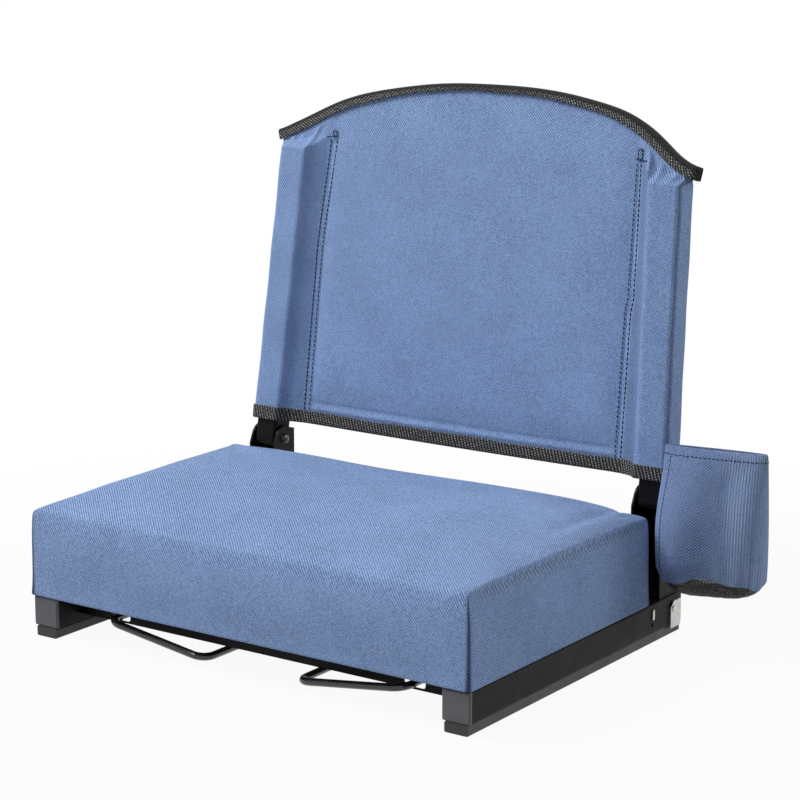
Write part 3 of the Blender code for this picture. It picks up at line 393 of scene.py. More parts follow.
def thread_run(name, path, normal, pitch=STITCH_PITCH, length=STITCH_LENGTH, radius=STITCH_RADIUS):
    """A row of stitches along a path: spindles laid end to end, half sunk into the cloth.

    Each spindle is rings of points whose radius is that of an ellipse, with a lid at each end.
    """
    rings, sides = 5, 6
    distance = along(path, 0)
    centres = np.arange(pitch / 2, distance[-1] - length / 2, pitch)
    middle = read_off(path, distance, centres)
    forward = unit(read_off(path, distance, centres + length / 4) - middle)
    up = read_off(np.broadcast_to(normal, path.shape), distance, centres)
    up = unit(up - forward * np.sum(up * forward, 1, keepdims=True))
    side = np.cross(forward, up)
    t = np.linspace(-0.96, 0.96, rings)
    angle = np.arange(sides) * 2 * np.pi / sides
    swell = np.sqrt(1 - t ** 2)[:, None] * radius
    shape = np.stack([
        np.broadcast_to(t[:, None] * length / 2, (rings, sides)),
        swell * np.cos(angle),
        swell * np.sin(angle),
    ], -1).reshape(-1, 3)
    points = (
        middle[:, None]
        + shape[None, :, :1] * forward[:, None]
        + shape[None, :, 1:2] * side[:, None]
        + shape[None, :, 2:] * up[:, None]
    )
    first = rings * sides * np.arange(len(centres))[:, None, None]
    faces = (grid_faces(rings, sides, wrap=True)[:, ::-1] + first).reshape(-1, 4)
    corner = np.arange(sides)
    lids = (np.stack([corner, rings * sides - 1 - corner]) + first).reshape(-1, sides)
    uv = np.zeros((faces.size + lids.size, 2))
    return add_piece(name, points, faces.tolist() + lids.tolist(), uv, MATERIALS["thread"])


# Shader helpers

class Nodes:
    """Short ways to add and join nodes in one tree."""

    def __init__(self, tree):
        self.tree = tree
        tree.nodes.clear()

    def add(self, kind, links=(), **settings):
        node = self.tree.nodes.new(kind)
        for key, value in settings.items():
            setattr(node, key, value)
        self.join(node, links)
        return node

    def join(self, node, links):
        for socket, value in dict(links).items():
            self.put(node.inputs[socket], value)

    def put(self, socket, value):
        if isinstance(value, bpy.types.NodeSocket):
            self.tree.links.new(value, socket)
        else:
            socket.default_value = value

    def math(self, operation, *values):
        return self.add("ShaderNodeMath", dict(enumerate(values)), operation=operation).outputs[0]

    def times(self, first, second):
        return self.math("MULTIPLY", first, second)

    def hump(self, count):
        """A half sine over each whole step of a count."""
        return self.math("ABSOLUTE", self.math("SINE", self.times(count, math.pi)))

    def split(self, vector):
        return self.add("ShaderNodeSeparateXYZ", {0: vector}).outputs

    def counts(self, vector, pitch):
        """Steps of a pitch along a vector's first two axes."""
        return [self.math("DIVIDE", part, pitch) for part in self.split(vector)[:2]]

    def point_value(self, label):
        return self.add("ShaderNodeAttribute", attribute_name=label).outputs["Fac"]

    def blend(self, share, low, high):
        return self.add("ShaderNodeMix", {0: share, 6: low, 7: high}, data_type="RGBA").outputs[2]

    def ramp(self, value, low, high, to_low=0.0, to_high=1.0):
        links = dict(enumerate((value, low, high, to_low, to_high)))
        return self.add("ShaderNodeMapRange", links).outputs[0]

    def noise(self, vector, scale, detail=2.0, roughness=0.5):
        links = {"Vector": vector, "Scale": scale, "Detail": detail, "Roughness": roughness}
        return self.add("ShaderNodeTexNoise", links).outputs[0]


def new_group(name, inputs, outputs):
    """An empty shader group with named sockets: its node helper, its input and its output node."""
    tree = bpy.data.node_groups.new(name, "ShaderNodeTree")
    for label, kind, value in inputs:
        socket = tree.interface.new_socket(label, in_out="INPUT", socket_type=kind)
        if value is not None:
            socket.default_value = value
    for label, kind in outputs:
        tree.interface.new_socket(label, in_out="OUTPUT", socket_type=kind)
    nodes = Nodes(tree)
    return nodes, nodes.add("NodeGroupInput").outputs, nodes.add("NodeGroupOutput").inputs


COLOUR, VALUE, VECTOR = "NodeSocketColor", "NodeSocketFloat", "NodeSocketVector"


def twill_group():
    """Twill weave: each thread crosses over two and under one, a step further in every row.

    Threads are counted along u and v by the pitch.  A thread shows where the remainder of the
    summed counts by three is below one and a half, and its height is a half sine across it.
    """
    inputs = [("Vector", VECTOR, None), ("Pitch", VALUE, 0.0009), ("Light", COLOUR, None),
              ("Dark", COLOUR, None), ("Fleck", VALUE, 0.5)]
    n, given, out = new_group("twill_cloth", inputs, [("Color", COLOUR), ("Height", VALUE)])
    u, v = n.counts(given["Vector"], given["Pitch"])
    total = n.math("ADD", n.math("FLOOR", u), n.math("FLOOR", v))
    step = n.math("FLOORED_MODULO", total, 3.0)
    warp = n.math("LESS_THAN", step, 1.5)
    over = n.times(warp, n.math("MULTIPLY_ADD", n.hump(u), 0.4, 0.6))
    under = n.times(n.math("SUBTRACT", 1.0, warp), n.times(n.hump(v), 0.25))
    height = n.math("ADD", over, under)
    cell = n.add("ShaderNodeCombineXYZ", {0: n.math("FLOOR", u), 1: n.math("FLOOR", v)}).outputs[0]
    fleck = n.add("ShaderNodeTexWhiteNoise", {"Vector": cell}, noise_dimensions="2D").outputs[0]
    cloudy = n.noise(given["Vector"], 18.0, 2.0)
    tone = n.math("MULTIPLY_ADD", n.math("SUBTRACT", fleck, 0.5), given["Fleck"], height)
    tone = n.math("ADD", tone, n.ramp(cloudy, 0.3, 0.7, -0.07, 0.07))
    n.put(out["Color"], n.blend(tone, given["Dark"], given["Light"]))
    n.put(out["Height"], height)
    return n.tree


def webbing_group():
    """Ribbed webbing: slanted ribs across the band, each broken into short humps along its length."""
    inputs = [("Vector", VECTOR, None), ("Pitch", VALUE, 0.0024), ("Slant", VALUE, 0.5),
              ("Light", COLOUR, None), ("Dark", COLOUR, None)]
    n, given, out = new_group("ribbed_webbing", inputs, [("Color", COLOUR), ("Height", VALUE)])
    u, v = n.counts(given["Vector"], given["Pitch"])
    wave = n.math("MULTIPLY_ADD", v, given["Slant"], u)
    across = n.math("MULTIPLY_ADD", n.math("FLOOR", wave), 0.5, n.times(v, 1.6))
    height = n.times(n.hump(wave), n.math("MULTIPLY_ADD", n.hump(across), 0.5, 0.5))
    uneven = n.noise(given["Vector"], 800.0, 2.0)
    # Painted highlight: the highest rib tops, with random gaps, take the light colour
    tone = n.times(n.math("POWER", height, 4.0), n.ramp(uneven, 0.4, 0.6, 0.1, 1.0))
    n.put(out["Color"], n.blend(tone, given["Dark"], given["Light"]))
    n.put(out["Height"], height)
    return n.tree


def grain_group():
    """Fine grain of coated, moulded or plated surfaces: two sizes of noise over one colour."""
    inputs = [("Vector", VECTOR, None), ("Scale", VALUE, 900.0), ("Light", COLOUR, None),
              ("Dark", COLOUR, None), ("Smooth", VALUE, 0.35), ("Rough", VALUE, 0.55)]
    outputs = [("Color", COLOUR), ("Height", VALUE), ("Roughness", VALUE)]
    n, given, out = new_group("fine_grain", inputs, outputs)
    fine = n.noise(given["Vector"], given["Scale"], 2.0)
    broad = n.noise(given["Vector"], n.times(given["Scale"], 0.04), 3.0)
    patches = n.times(n.ramp(broad, 0.3, 0.7), 0.65)
    tone = n.math("MULTIPLY_ADD", n.ramp(fine, 0.3, 0.7), 0.35, patches)
    n.put(out["Color"], n.blend(tone, given["Dark"], given["Light"]))
    n.put(out["Height"], fine)
    n.put(out["Roughness"], n.ramp(broad, 0.3, 0.7, given["Smooth"], given["Rough"]))
    return n.tree


def holes_group():
    """Netting: slanted square cells of thread round open holes."""
    inputs = [("Vector", VECTOR, None), ("Pitch", VALUE, 0.0018), ("Open", VALUE, 0.55)]
    n, given, out = new_group("netting", inputs, [("Alpha", VALUE), ("Height", VALUE)])
    split = n.split(given["Vector"])
    u = n.math("DIVIDE", n.math("ADD", split[0], split[1]), given["Pitch"])
    v = n.math("DIVIDE", n.math("SUBTRACT", split[0], split[1]), given["Pitch"])
    cell = n.times(n.hump(u), n.hump(v))
    n.put(out["Alpha"], n.math("LESS_THAN", cell, given["Open"]))
    n.put(out["Height"], n.math("SUBTRACT", 1.0, cell))
    return n.tree


TWILL = twill_group()
WEBBING = webbing_group()
GRAIN = grain_group()
HOLES = holes_group()


def new_material(name, settings=()):
    """A material: with it its node helper, its Principled shader and its UV and object coordinates."""
    material = bpy.data.materials.new(name)
    material.use_nodes = True
    n = Nodes(material.node_tree)
    shader = n.add("ShaderNodeBsdfPrincipled", settings)
    n.add("ShaderNodeOutputMaterial", {"Surface": shader.outputs[0]})
    coords = n.add("ShaderNodeTexCoord").outputs
    return material, n, shader, coords


def place_group(n, tree, **values):
    """Places a shader group in a material, with its inputs by name."""
    return n.add("ShaderNodeGroup", values, node_tree=tree).outputs


def dress(n, shader, height, links):
    """Joins a shader's inputs, and turns a height in metres into its normal."""
    relief = n.add("ShaderNodeBump", {"Height": height, "Strength": 1.0, "Distance": 1.0})
    n.join(shader, {"Normal": relief.outputs[0], **links})


def cloth_finish(name, light, dark, pitch=WEAVE_PITCH, puckers=False, ribs=False):
    """Blue polyester twill, soft and dull, with puckers beside seams or fine ribs where it has them.

    A pucker is a sine along the seam that slants away from it and fades with the distance that
    the piece's pucker attribute gives; its valleys carry painted shade and its ridges painted
    highlights.  The seam attribute blends in painted shade.  Ribs are a sine along the pouch's way
    round; where they are, painted light makes the cloth lighter, most on the rib crests.
    """
    material, n, shader, coords = new_material(name, {
        "Roughness": 0.82, "Sheen Weight": 0.12, "Sheen Roughness": 0.5, "Specular IOR Level": 0.25,
    })
    weave = place_group(n, TWILL, Vector=coords["UV"], Pitch=pitch, Light=light, Dark=dark, Fleck=0.5)
    colour = weave["Color"]
    if puckers:
        # Painted shade: the seam attribute darkens seams, a sleeve's crease and its hollow facet
        colour = n.blend(n.times(n.point_value("seam"), 0.95), colour, PAINTED_SHADE)
    height = n.times(weave["Height"], WEAVE_DEPTH)
    if ribs:
        run = n.split(coords["UV"])[0]
        rib = n.math("SINE", n.times(run, 2 * math.pi / POUCH_RIB_PITCH))
        uneven = n.ramp(n.noise(coords["UV"], 60.0), 0.3, 0.6, 0.4, 1.0)
        where = n.times(n.ramp(run, 0.165, 0.185), uneven)
        # Painted light: the ribbed part is made lighter, most on the rib crests
        painted_rib_light = n.times(where, n.ramp(rib, -1.0, 1.0, 0.14, 0.46))
        colour = n.blend(painted_rib_light, colour, RIB_PAINTED_HIGHLIGHT)
        height = n.math("MULTIPLY_ADD", n.times(rib, where), POUCH_RIB_DEPTH, height)
    if puckers:
        near = n.point_value("pucker")
        split = n.split(coords["UV"])
        slant = n.math("MULTIPLY_ADD", split[1], 0.45, split[0])
        drift = n.math("MULTIPLY_ADD", n.noise(coords["UV"], 70.0), 0.004, slant)
        wave = n.math("SINE", n.times(drift, 2 * math.pi / PUCKER_PITCH))
        height = n.math("MULTIPLY_ADD", n.times(wave, near), PUCKER_DEPTH, height)
        # Painted shade in the puckers' valleys, painted highlights on their ridges
        painted_valley_shade = n.times(near, n.ramp(wave, -1.0, 0.4, 0.28, 0.0))
        painted_ridge_highlight = n.times(near, n.ramp(wave, 0.3, 1.0, 0.0, 0.9))
        colour = n.blend(painted_ridge_highlight, n.blend(painted_valley_shade, colour, PUCKER_PAINTED_SHADE), PUCKER_PAINTED_HIGHLIGHT)
    dress(n, shader, height, {"Base Color": colour})
    return material


def webbing_finish(name, light, dark, pitch, slant, rolled=False):
    """Black ribbed webbing whose rib tops carry painted highlights, left out where a fold attribute says.
    """
    material, n, shader, coords = new_material(name, {"Roughness": 0.75, "Specular IOR Level": 0.3})
    ribs = place_group(n, WEBBING, Vector=coords["UV"], Pitch=pitch, Slant=slant, Light=light, Dark=dark)
    colour = ribs["Color"]
    if rolled:
        colour = n.blend(n.point_value("fold"), colour, dark)
    dress(n, shader, n.times(ribs["Height"], WEBBING_DEPTH), {"Base Color": colour})
    return material


def grained_finish(name, light, dark, scale, smooth, rough, metallic=0.0, depth=GRAIN_DEPTH, coat=0.0,
                   specular=0.5):
    """A coated, moulded or plated surface with fine grain and uneven gloss."""
    material, n, shader, coords = new_material(name, {
        "Metallic": metallic, "Coat Weight": coat, "Coat Roughness": 0.12, "Specular IOR Level": specular,
    })
    grain = place_group(n, GRAIN, Vector=coords["Object"], Scale=scale, Light=light, Dark=dark,
                        Smooth=smooth, Rough=rough)
    dress(n, shader, n.times(grain["Height"], depth),
          {"Base Color": grain["Color"], "Roughness": grain["Roughness"]})
    return material


def net_finish(name):
    """Black knitted netting that shows what is behind it through its holes."""
    material, n, shader, coords = new_material(name)
    net = place_group(n, HOLES, Vector=coords["UV"], Pitch=NET_PITCH, Open=NET_OPEN)
    grain = place_group(n, GRAIN, Vector=coords["Object"], Scale=1500.0, Light=screen(34, 35, 37),
                        Dark=screen(12, 12, 14), Smooth=0.6, Rough=0.8)
    dress(n, shader, n.times(net["Height"], NET_DEPTH),
          {"Base Color": grain["Color"], "Roughness": grain["Roughness"], "Alpha": net["Alpha"]})
    return material


def board_finish(name):
    """Plywood: long grain along X, drawn out of stretched noise."""
    material, n, shader, coords = new_material(name)
    stretch = {"Vector": coords["Object"], "Scale": (8.0, 160.0, 160.0)}
    drawn = n.add("ShaderNodeMapping", stretch).outputs[0]
    rings = n.noise(drawn, 1.0, 4.0, 0.6)
    pores = n.noise(drawn, 6.0, 2.0)
    tone = n.math("MULTIPLY_ADD", n.ramp(pores, 0.4, 0.7), 0.3, n.ramp(rings, 0.3, 0.7, 0.0, 0.7))
    colour = n.blend(tone, screen(193, 160, 113), screen(150, 112, 70))
    dress(n, shader, n.times(rings, BOARD_DEPTH),
          {"Base Color": colour, "Roughness": n.ramp(pores, 0.3, 0.7, 0.6, 0.8)})
    return material


CLOTH_LIGHT = screen(158, 188, 236)
CLOTH_DARK = screen(56, 80, 125)
# Painted shade that the seam attribute blends in at seams and in the right sleeve's crease and hollow facet
PAINTED_SHADE = screen(24, 37, 74)
# Painted shade in the puckers' valleys and painted highlight on their ridges
PUCKER_PAINTED_SHADE = screen(48, 60, 90)
PUCKER_PAINTED_HIGHLIGHT = screen(170, 190, 226)
# The pouch's twill is the seat's cloth darkened as painted shade
POUCH_PAINTED_SHADE_LIGHT = screen(147, 173, 220)
POUCH_PAINTED_SHADE_DARK = screen(40, 57, 97)
# Painted highlight on the pouch's rib crests
RIB_PAINTED_HIGHLIGHT = screen(166, 186, 220)
NEAR_BLACK = screen(6, 6, 7)
MATERIALS = {
    "seat_cloth": cloth_finish("seat_cloth", CLOTH_LIGHT, CLOTH_DARK, puckers=True),
    "back_cloth": cloth_finish("back_cloth", CLOTH_LIGHT, CLOTH_DARK),
    "sleeve_cloth": cloth_finish("sleeve_cloth", CLOTH_LIGHT, CLOTH_DARK, puckers=True),
    "pouch_cloth_painted_shade": cloth_finish("pouch_cloth_painted_shade", POUCH_PAINTED_SHADE_LIGHT, POUCH_PAINTED_SHADE_DARK, POUCH_PITCH, ribs=True),
    # The light colours of both webbings are painted highlights on their rib tops
    "webbing": webbing_finish("ribbed_webbing_band", screen(204, 203, 199), NEAR_BLACK, 0.0032, 0.35),
    "top_webbing": webbing_finish(
        "ribbed_webbing_fold", screen(226, 226, 223), NEAR_BLACK, 0.0029, 0.8, rolled=True),
    "thread": grained_finish(
        "navy_thread", screen(30, 37, 70), screen(14, 17, 38), 2500.0, 0.6, 0.8, specular=0.2),
    "powder_coat": grained_finish(
        "powder_coat", screen(17, 18, 20), NEAR_BLACK, 1400.0, 0.36, 0.52, specular=0.10),
    "cap_plastic": grained_finish(
        "cap_plastic", screen(90, 91, 95), screen(72, 73, 77), 1800.0, 0.45, 0.6),
    "foot_plastic": grained_finish(
        "foot_plastic", screen(42, 43, 45), screen(30, 31, 33), 1500.0, 0.45, 0.62),
    "zinc": grained_finish(
        "zinc", screen(214, 214, 210), screen(150, 150, 148), 260.0, 0.16, 0.42, metallic=1.0),
    "black_rivet": grained_finish(
        "black_rivet", screen(30, 30, 32), screen(14, 14, 15), 900.0, 0.22, 0.4, metallic=0.2),
    "wire": grained_finish(
        "wire_enamel", screen(13, 13, 14), NEAR_BLACK, 700.0, 0.12, 0.24, depth=WIRE_DEPTH, coat=0.4),
    "nylon": grained_finish(
        "nylon", screen(214, 213, 206), screen(190, 189, 182), 900.0, 0.4, 0.55),
    "net": net_finish("cup_net"),
    "plywood": board_finish("plywood_board"),
}


# Cushion

def seat_profile(fold, shares):
    """The main panel's way from the front hem over the top to the rear hem, as (y, z).

    A three-sided path with arcs of the fold radius at its top corners, read off at lengths that
    give even shares of the front, the top and the rear.
    """
    corners = np.array([[
        (SEAT_FRONT, SEAT_LOW),
        (SEAT_FRONT, SEAT_SEAM_Z),
        (SEAT_REAR, SEAT_SEAM_Z),
        (SEAT_REAR, SEAT_LOW),
    ]])
    path = rounded_path(corners, [fold, fold], 24, 40)[0]
    distance = along(path, 0)
    turns = [SEAT_FRONT + fold / 4, SEAT_REAR - fold / 4]
    knots = [0.0, *np.interp(turns, path[:, 0] + 1e-9 * distance, distance), distance[-1]]
    lengths = np.interp(shares, [0, 1, 2, 3], knots)
    return read_off(path, distance, lengths), lengths


def seat_crown(across, back):
    """Rise of the cushion's top above its side seams.

    A quarter round beside the seams, then a slow swell that is low at the front fold and less at
    the rear, where it dips in the middle.  Bell humps make a small ear at the rear left corner and
    a groove along the right seam that deepens towards the rear.
    """
    inside = (1 - np.abs(across)) * SEAT_HALF_W
    roll = SEAT_ROLL * np.sqrt(1 - (1 - np.clip(inside / SEAT_ROLL_W, 0, 1)) ** 2)
    side = 1 - (1 - np.clip((1 - np.abs(across)) / 0.34, 0, 1)) ** 2.4
    front = ease((back + 1) / 0.7) * 0.88 + 0.12
    rear = 1 - 0.58 * ease((back - 0.20) / 0.80)
    dip = REAR_DIP * bell((across + 0.15) / 0.35) * ease((back - 0.4) / 0.6)
    ear = REAR_EAR * bell((1 - back) / 0.07) * bell(inside / 0.010) * (across < 0)
    groove = GROOVE * bell((inside - GROOVE_IN) / GROOVE_W) * ease((back + 0.60) / 1.1) * (across > 0)
    return roll + CROWN * side * front * rear + ear - dip - groove


def seat_lean(across, back):
    """Rise of the right seam's front end and fall of its rear end, as a straight tilt."""
    return -SEAT_RIGHT_TILT * back * ease((across - 0.88) / 0.12)


def seat_inset(share):
    """How far the cushion's sides stand in at a height share: flared at the hem, drawn in at the seam."""
    return SEAT_SEAM_IN * share ** 6 - SEAT_FLARE * (1 - share) ** 6


def seat_main_panel():
    """The panel over front, top and rear, with its UV, from the left seam to the right one.

    Points are across and along the profile, with the fold radius growing away from the seams.
    """
    a = 2 * crowded(SEAT_WIDE + 1, 0.72) - 1
    upright = crowded(SEAT_TALL + 1, 0.4)
    shares = np.concatenate([upright, 1 + crowded(SEAT_DEEP + 1, 0.6)[1:], 2 + upright[1:]])
    tight, _ = seat_profile(FOLD_TIGHT, shares)
    soft, lengths = seat_profile(FOLD_SOFT, shares)
    mellow = 1 - np.abs(a) ** 8
    profile = tight[None] + mellow[:, None, None] * (soft - tight)[None]
    y, z = profile[..., 0], profile[..., 1]
    share = np.clip((z - SEAT_LOW) / (SEAT_SEAM_Z - SEAT_LOW), 0, 1)
    back = np.clip(2 * (y - SEAT_FRONT) / (SEAT_REAR - SEAT_FRONT) - 1, -1, 1)
    on_top = ease((shares - 0.80) / 0.3) * ease((2.20 - shares) / 0.3)
    across = np.broadcast_to(a[:, None], y.shape)
    x = across * (SEAT_HALF_W - seat_inset(share) - SEAT_PULL * (1 - back ** 2) * share)
    z = z + (seat_crown(across, back) + seat_lean(across, back)) * on_top
    z = z + SEAT_REAR_LIFT * ease((back + 1) / 2) * share
    flare = SEAT_FLARE * (1 - share) ** 6
    swell = SEAT_FACE_SWELL * np.sin(np.pi * share) * (1 - np.abs(across) ** 6)
    y = y + np.sign(back) * (1 - on_top) * (swell + flare)
    main = np.stack([x, y, z], -1)
    for column, sign in ((0, -1), (-1, 1)):
        main[column, :, 0] -= sign * SEAM_PINCH
        main[column, :, 1] -= np.sign(back[column]) * SEAM_PINCH
    return main, np.stack([x, np.broadcast_to(lengths, x.shape)], -1)


def seat_side_panel(seam, sign):
    """A side panel that fills its three sewn edges and its hem, and swells by a power of sines."""
    front, rear = seam[:SEAT_TALL + 1], seam[SEAT_TALL + SEAT_DEEP:][::-1]
    top = seam[SEAT_TALL:SEAT_TALL + SEAT_DEEP + 1]
    u = (top[:, 1] - top[0, 1]) / (top[-1, 1] - top[0, 1])
    v = (front[:, 2] - front[0, 2]) / (front[-1, 2] - front[0, 2])
    low = front[0] + u[:, None] * (rear[0] - front[0])
    grid = fill_panel(low, top, front, rear, u, v)
    bulge = np.sin(np.pi * u)[:, None] ** 0.35 * np.sin(np.pi * v)[None] ** 0.5
    grid[..., 0] += sign * SEAT_SIDE_SWELL * bulge
    return grid


def seat_hem(loop):
    """The hem's loop turned under, back out and up the board's pocket, as rings drawn to the middle."""
    middle = np.array([0.0, (SEAT_FRONT + SEAT_REAR) / 2])
    reach = np.array([SEAT_HALF_W, (SEAT_REAR - SEAT_FRONT) / 2])
    low, top, bend = SEAT_LOW, SEAT_LOW + HEM_THICK, HEM_ROUND
    steps = np.array([
        (0.0, low), (4 * bend, low), (HEM_UNDER - bend, low), (HEM_UNDER, low + HEM_THICK / 2),
        (HEM_UNDER - bend, top), (POCKET_IN + 2 * bend, top), (POCKET_IN, top + bend),
        (POCKET_IN, POCKET_TOP - bend), (POCKET_IN + bend, POCKET_TOP),
    ])
    flat = middle + (loop[None, :, :2] - middle) * (1 - steps[:, None, :1] / reach)
    height = np.broadcast_to(steps[:, None, 1:], (*flat.shape[:2], 1))
    under = np.concatenate([flat, height], -1)
    under[0] = loop
    return under


def seat_cushion():
    """The stuffed cover: main panel, two sewn side panels, turned hem and the pocket's lid."""
    main, main_uv = seat_main_panel()
    left, right = seat_side_panel(main[0], -1), seat_side_panel(main[-1], 1)
    loop = np.concatenate([main[:-1, 0], right[:-1, 0], main[:0:-1, -1], left[:0:-1, 0]])
    under = seat_hem(loop)
    rim = np.concatenate([under[-1], under[-1, :1]])
    wide, deep = SEAT_WIDE, SEAT_DEEP
    near, east = rim[:wide + 1], rim[wide:wide + deep + 1]
    far, west = rim[wide + deep:2 * wide + deep + 1][::-1], rim[2 * wide + deep:][::-1]
    lid = fill_panel(near, far, west, east, crowded(wide + 1, 0.72), crowded(deep + 1, 0.6))
    sewn = Patchwork()
    sewn.add(main, main_uv)
    for panel in (left, right):
        sewn.add(panel, panel[..., 1:])
    sewn.add(under, under[..., :2], wrap=True)
    sewn.add(lid, lid[..., :2])
    points = from_seat(np.concatenate(sewn.points))
    return add_piece("seat_cushion", points, sewn.faces, np.concatenate(sewn.uv), MATERIALS["seat_cloth"],
                     merge=0.00005)


def seat_points(mesh):
    """A cushion mesh's points in the seat's own measures."""
    co = np.empty(len(mesh.vertices) * 3)
    mesh.vertices.foreach_get("co", co)
    return co.reshape(-1, 3) - SEAT_ORIGIN


def stuff(piece, cap):
    """Blows the cover up as cloth over foam, its seams and hem held, and keeps the result.

    A point moves by cap * tanh(way / cap), so none goes further than the cap.
    """
    start = seat_points(piece.data)
    beside = SEAT_HALF_W - np.abs(start[:, 0])
    held = (start[:, 2] < SEAT_LOW + 0.012) | ((beside < 0.0075) & (start[:, 2] > SEAT_SEAM_Z - 0.004))
    ends = (start[:, 1] < SEAT_FRONT + 0.004) | (start[:, 1] > SEAT_REAR - 0.004)
    held |= (beside < 0.0055) & ends
    fold = np.abs(start[:, 2] - SEAT_SEAM_Z - SEAT_ROLL + 0.002) < 0.0035
    held |= fold & (start[:, 1] < SEAT_FRONT + 0.0035)
    group = piece.vertex_groups.new(name="held")
    group.add(np.flatnonzero(held).tolist(), 1.0, "REPLACE")
    modifier = piece.modifiers.new("stuffing", "CLOTH")
    cloth = modifier.settings
    cloth.quality = 6
    cloth.mass = 0.3
    cloth.tension_stiffness = 25
    cloth.compression_stiffness = 25
    cloth.shear_stiffness = 10
    cloth.bending_stiffness = 2
    cloth.use_pressure = True
    cloth.uniform_pressure_force = 4
    cloth.vertex_group_mass = "held"
    cloth.effector_weights.gravity = 0
    modifier.collision_settings.use_collision = False
    modifier.point_cache.frame_start = 1
    modifier.point_cache.frame_end = STUFFING_FRAMES
    scene = bpy.context.scene
    for number in range(1, STUFFING_FRAMES + 1):
        scene.frame_set(number)
    shaped = piece.evaluated_get(bpy.context.evaluated_depsgraph_get()).to_mesh()
    moved = seat_points(shaped) - start
    length = np.linalg.norm(moved, axis=1, keepdims=True)
    kept = from_seat(start) + moved * (cap * np.tanh(length / cap) / np.maximum(length, 1e-9))
    piece.modifiers.remove(modifier)
    piece.vertex_groups.clear()
    scene.frame_set(1)
    piece.data.vertices.foreach_set("co", kept.ravel())
    piece.data.update()


def mark_seams(piece):
    """Writes each point's share of puckers and of the painted shade in a seam.

    Puckers are strongest on a side panel just under its top seam and fade downwards.  The painted
    shade fades within a few millimetres of the top and the upright seams.
    """
    p = seat_points(piece.data)
    back = 2 * (p[:, 1] - SEAT_FRONT) / (SEAT_REAR - SEAT_FRONT) - 1
    seam = SEAT_SEAM_Z + SEAT_REAR_LIFT * ease((back + 1) / 2)
    below = seam + seat_lean(np.sign(p[:, 0]), np.clip(back, -1, 1)) - p[:, 2]
    beside = SEAT_HALF_W - np.abs(p[:, 0])
    panel = beside < 0.0068
    pucker = np.exp(-np.maximum(below - 0.001, 0) / 0.005) * panel * ease((below + 0.002) / 0.003)
    away = ease((p[:, 1] - SEAT_FRONT) / 0.03) * ease((SEAT_REAR - p[:, 1]) / 0.02)
    end = np.minimum(p[:, 1] - SEAT_FRONT, SEAT_REAR - p[:, 1]) + np.maximum(beside - 0.002, 0)
    # Painted shade in the pinch of the upright seams and, fainter, along the top seam
    upright = bell(np.maximum(end, 0) / 0.0018) * panel
    level = bell(below / 0.0022) * panel * 0.16
    mark(piece, "pucker", pucker * away)
    mark(piece, "seam", np.maximum(upright, level))


cushion = seat_cushion()
stuff(cushion, STUFFING_REACH)
mark_seams(cushion)
refine(cushion)
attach(cushion, "base")
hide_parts("seat_cover", "seat_foam_top", "seat_foam_base")
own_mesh(cushion)


# Back

def arch(x):
    """Height of the back's top edge: a flat-topped arch whose ends ease outwards, sewn unevenly."""
    reach = np.abs(x)
    past = np.clip((reach - ARCH_REF_X) / 0.033, 0, 1)
    even = ARCH_TOP - ARCH_DROP * (reach / ARCH_REF_X) ** 2.9 + 0.012 * past ** 2
    sewn = -0.0032 * bell((x + 0.095) / 0.055) + 0.0030 * bell((x + 0.203) / 0.018)
    return even + sewn + 0.0022 * bell((x - 0.148) / 0.028) - 0.0052 * ease((x - 0.165) / 0.05)


def hem(x):
    """Height of the back's bottom edge, which sags a little between the sleeves."""
    share = np.clip(np.abs(x) / (PIVOT_X - 0.040), 0, 1)
    return HEM_Z - HEM_SAG * (1 - share ** 2)


def centre_x(z):
    """Distance of an upright's axis from the middle at a height along the back."""
    return PIVOT_X - TAPER * z


def stitch_x(z, side, row=0):
    """Distance of a stitch row from the middle: the inner row (0) or the outer one (1).

    The left rows lean in near the top, and the right ones step in half way down.
    """
    lean = ease((z - 0.17) / 0.13)
    if side > 0:
        inner = STITCH_IN - STITCH_LEAN * z + 0.0012 - 0.0019 * ease((0.168 - z) / 0.014)
        return inner + row * (STITCH_APART - 0.0018 * lean)
    return STITCH_IN - STITCH_LEAN * z - 0.0076 * lean + row * (STITCH_APART + 0.0016 * lean)


def panel_swell(x, z):
    """How far the panel's front stands out: a flat pad, dimpled at its stitching, rolled at its hem."""
    edge = np.clip(1 - np.abs(x) / (STITCH_IN - STITCH_LEAN * z), 0, 1)
    low = z - hem(x) - BINDING_H
    high = arch(x) - 0.007 - z
    pad = PAD_SWELL * (1 - (1 - np.clip(edge / 0.12, 0, 1)) ** 2) * ease(low / 0.03) * ease(high / 0.05)
    hem_roll = 0.0011 * bell((low - 0.0028) / 0.0019) - 0.0006 * bell((low - 0.0082) / 0.0016)
    return pad + hem_roll * ease(edge / 0.05)


def panel_grid(face, columns=121, rows=141):
    """One face of the padded panel, from hem to arch, reaching under the sleeves' laps."""
    c, r = np.meshgrid(np.linspace(-1, 1, columns), crowded(rows, 0.45), indexing="ij")
    bottom = hem(c * STITCH_IN) + PANEL_OVER_HEM
    top = arch(c * (STITCH_IN - 0.005)) - PANEL_UNDER_TOP
    z = bottom + (top - bottom) * r
    x = c * (STITCH_IN + 0.004 - STITCH_LEAN * z)
    y = PANEL_FRONT - panel_swell(x, z) if face == "front" else PANEL_BACK + 0.4 * panel_swell(x, z)
    return np.stack([x, y, z], -1)


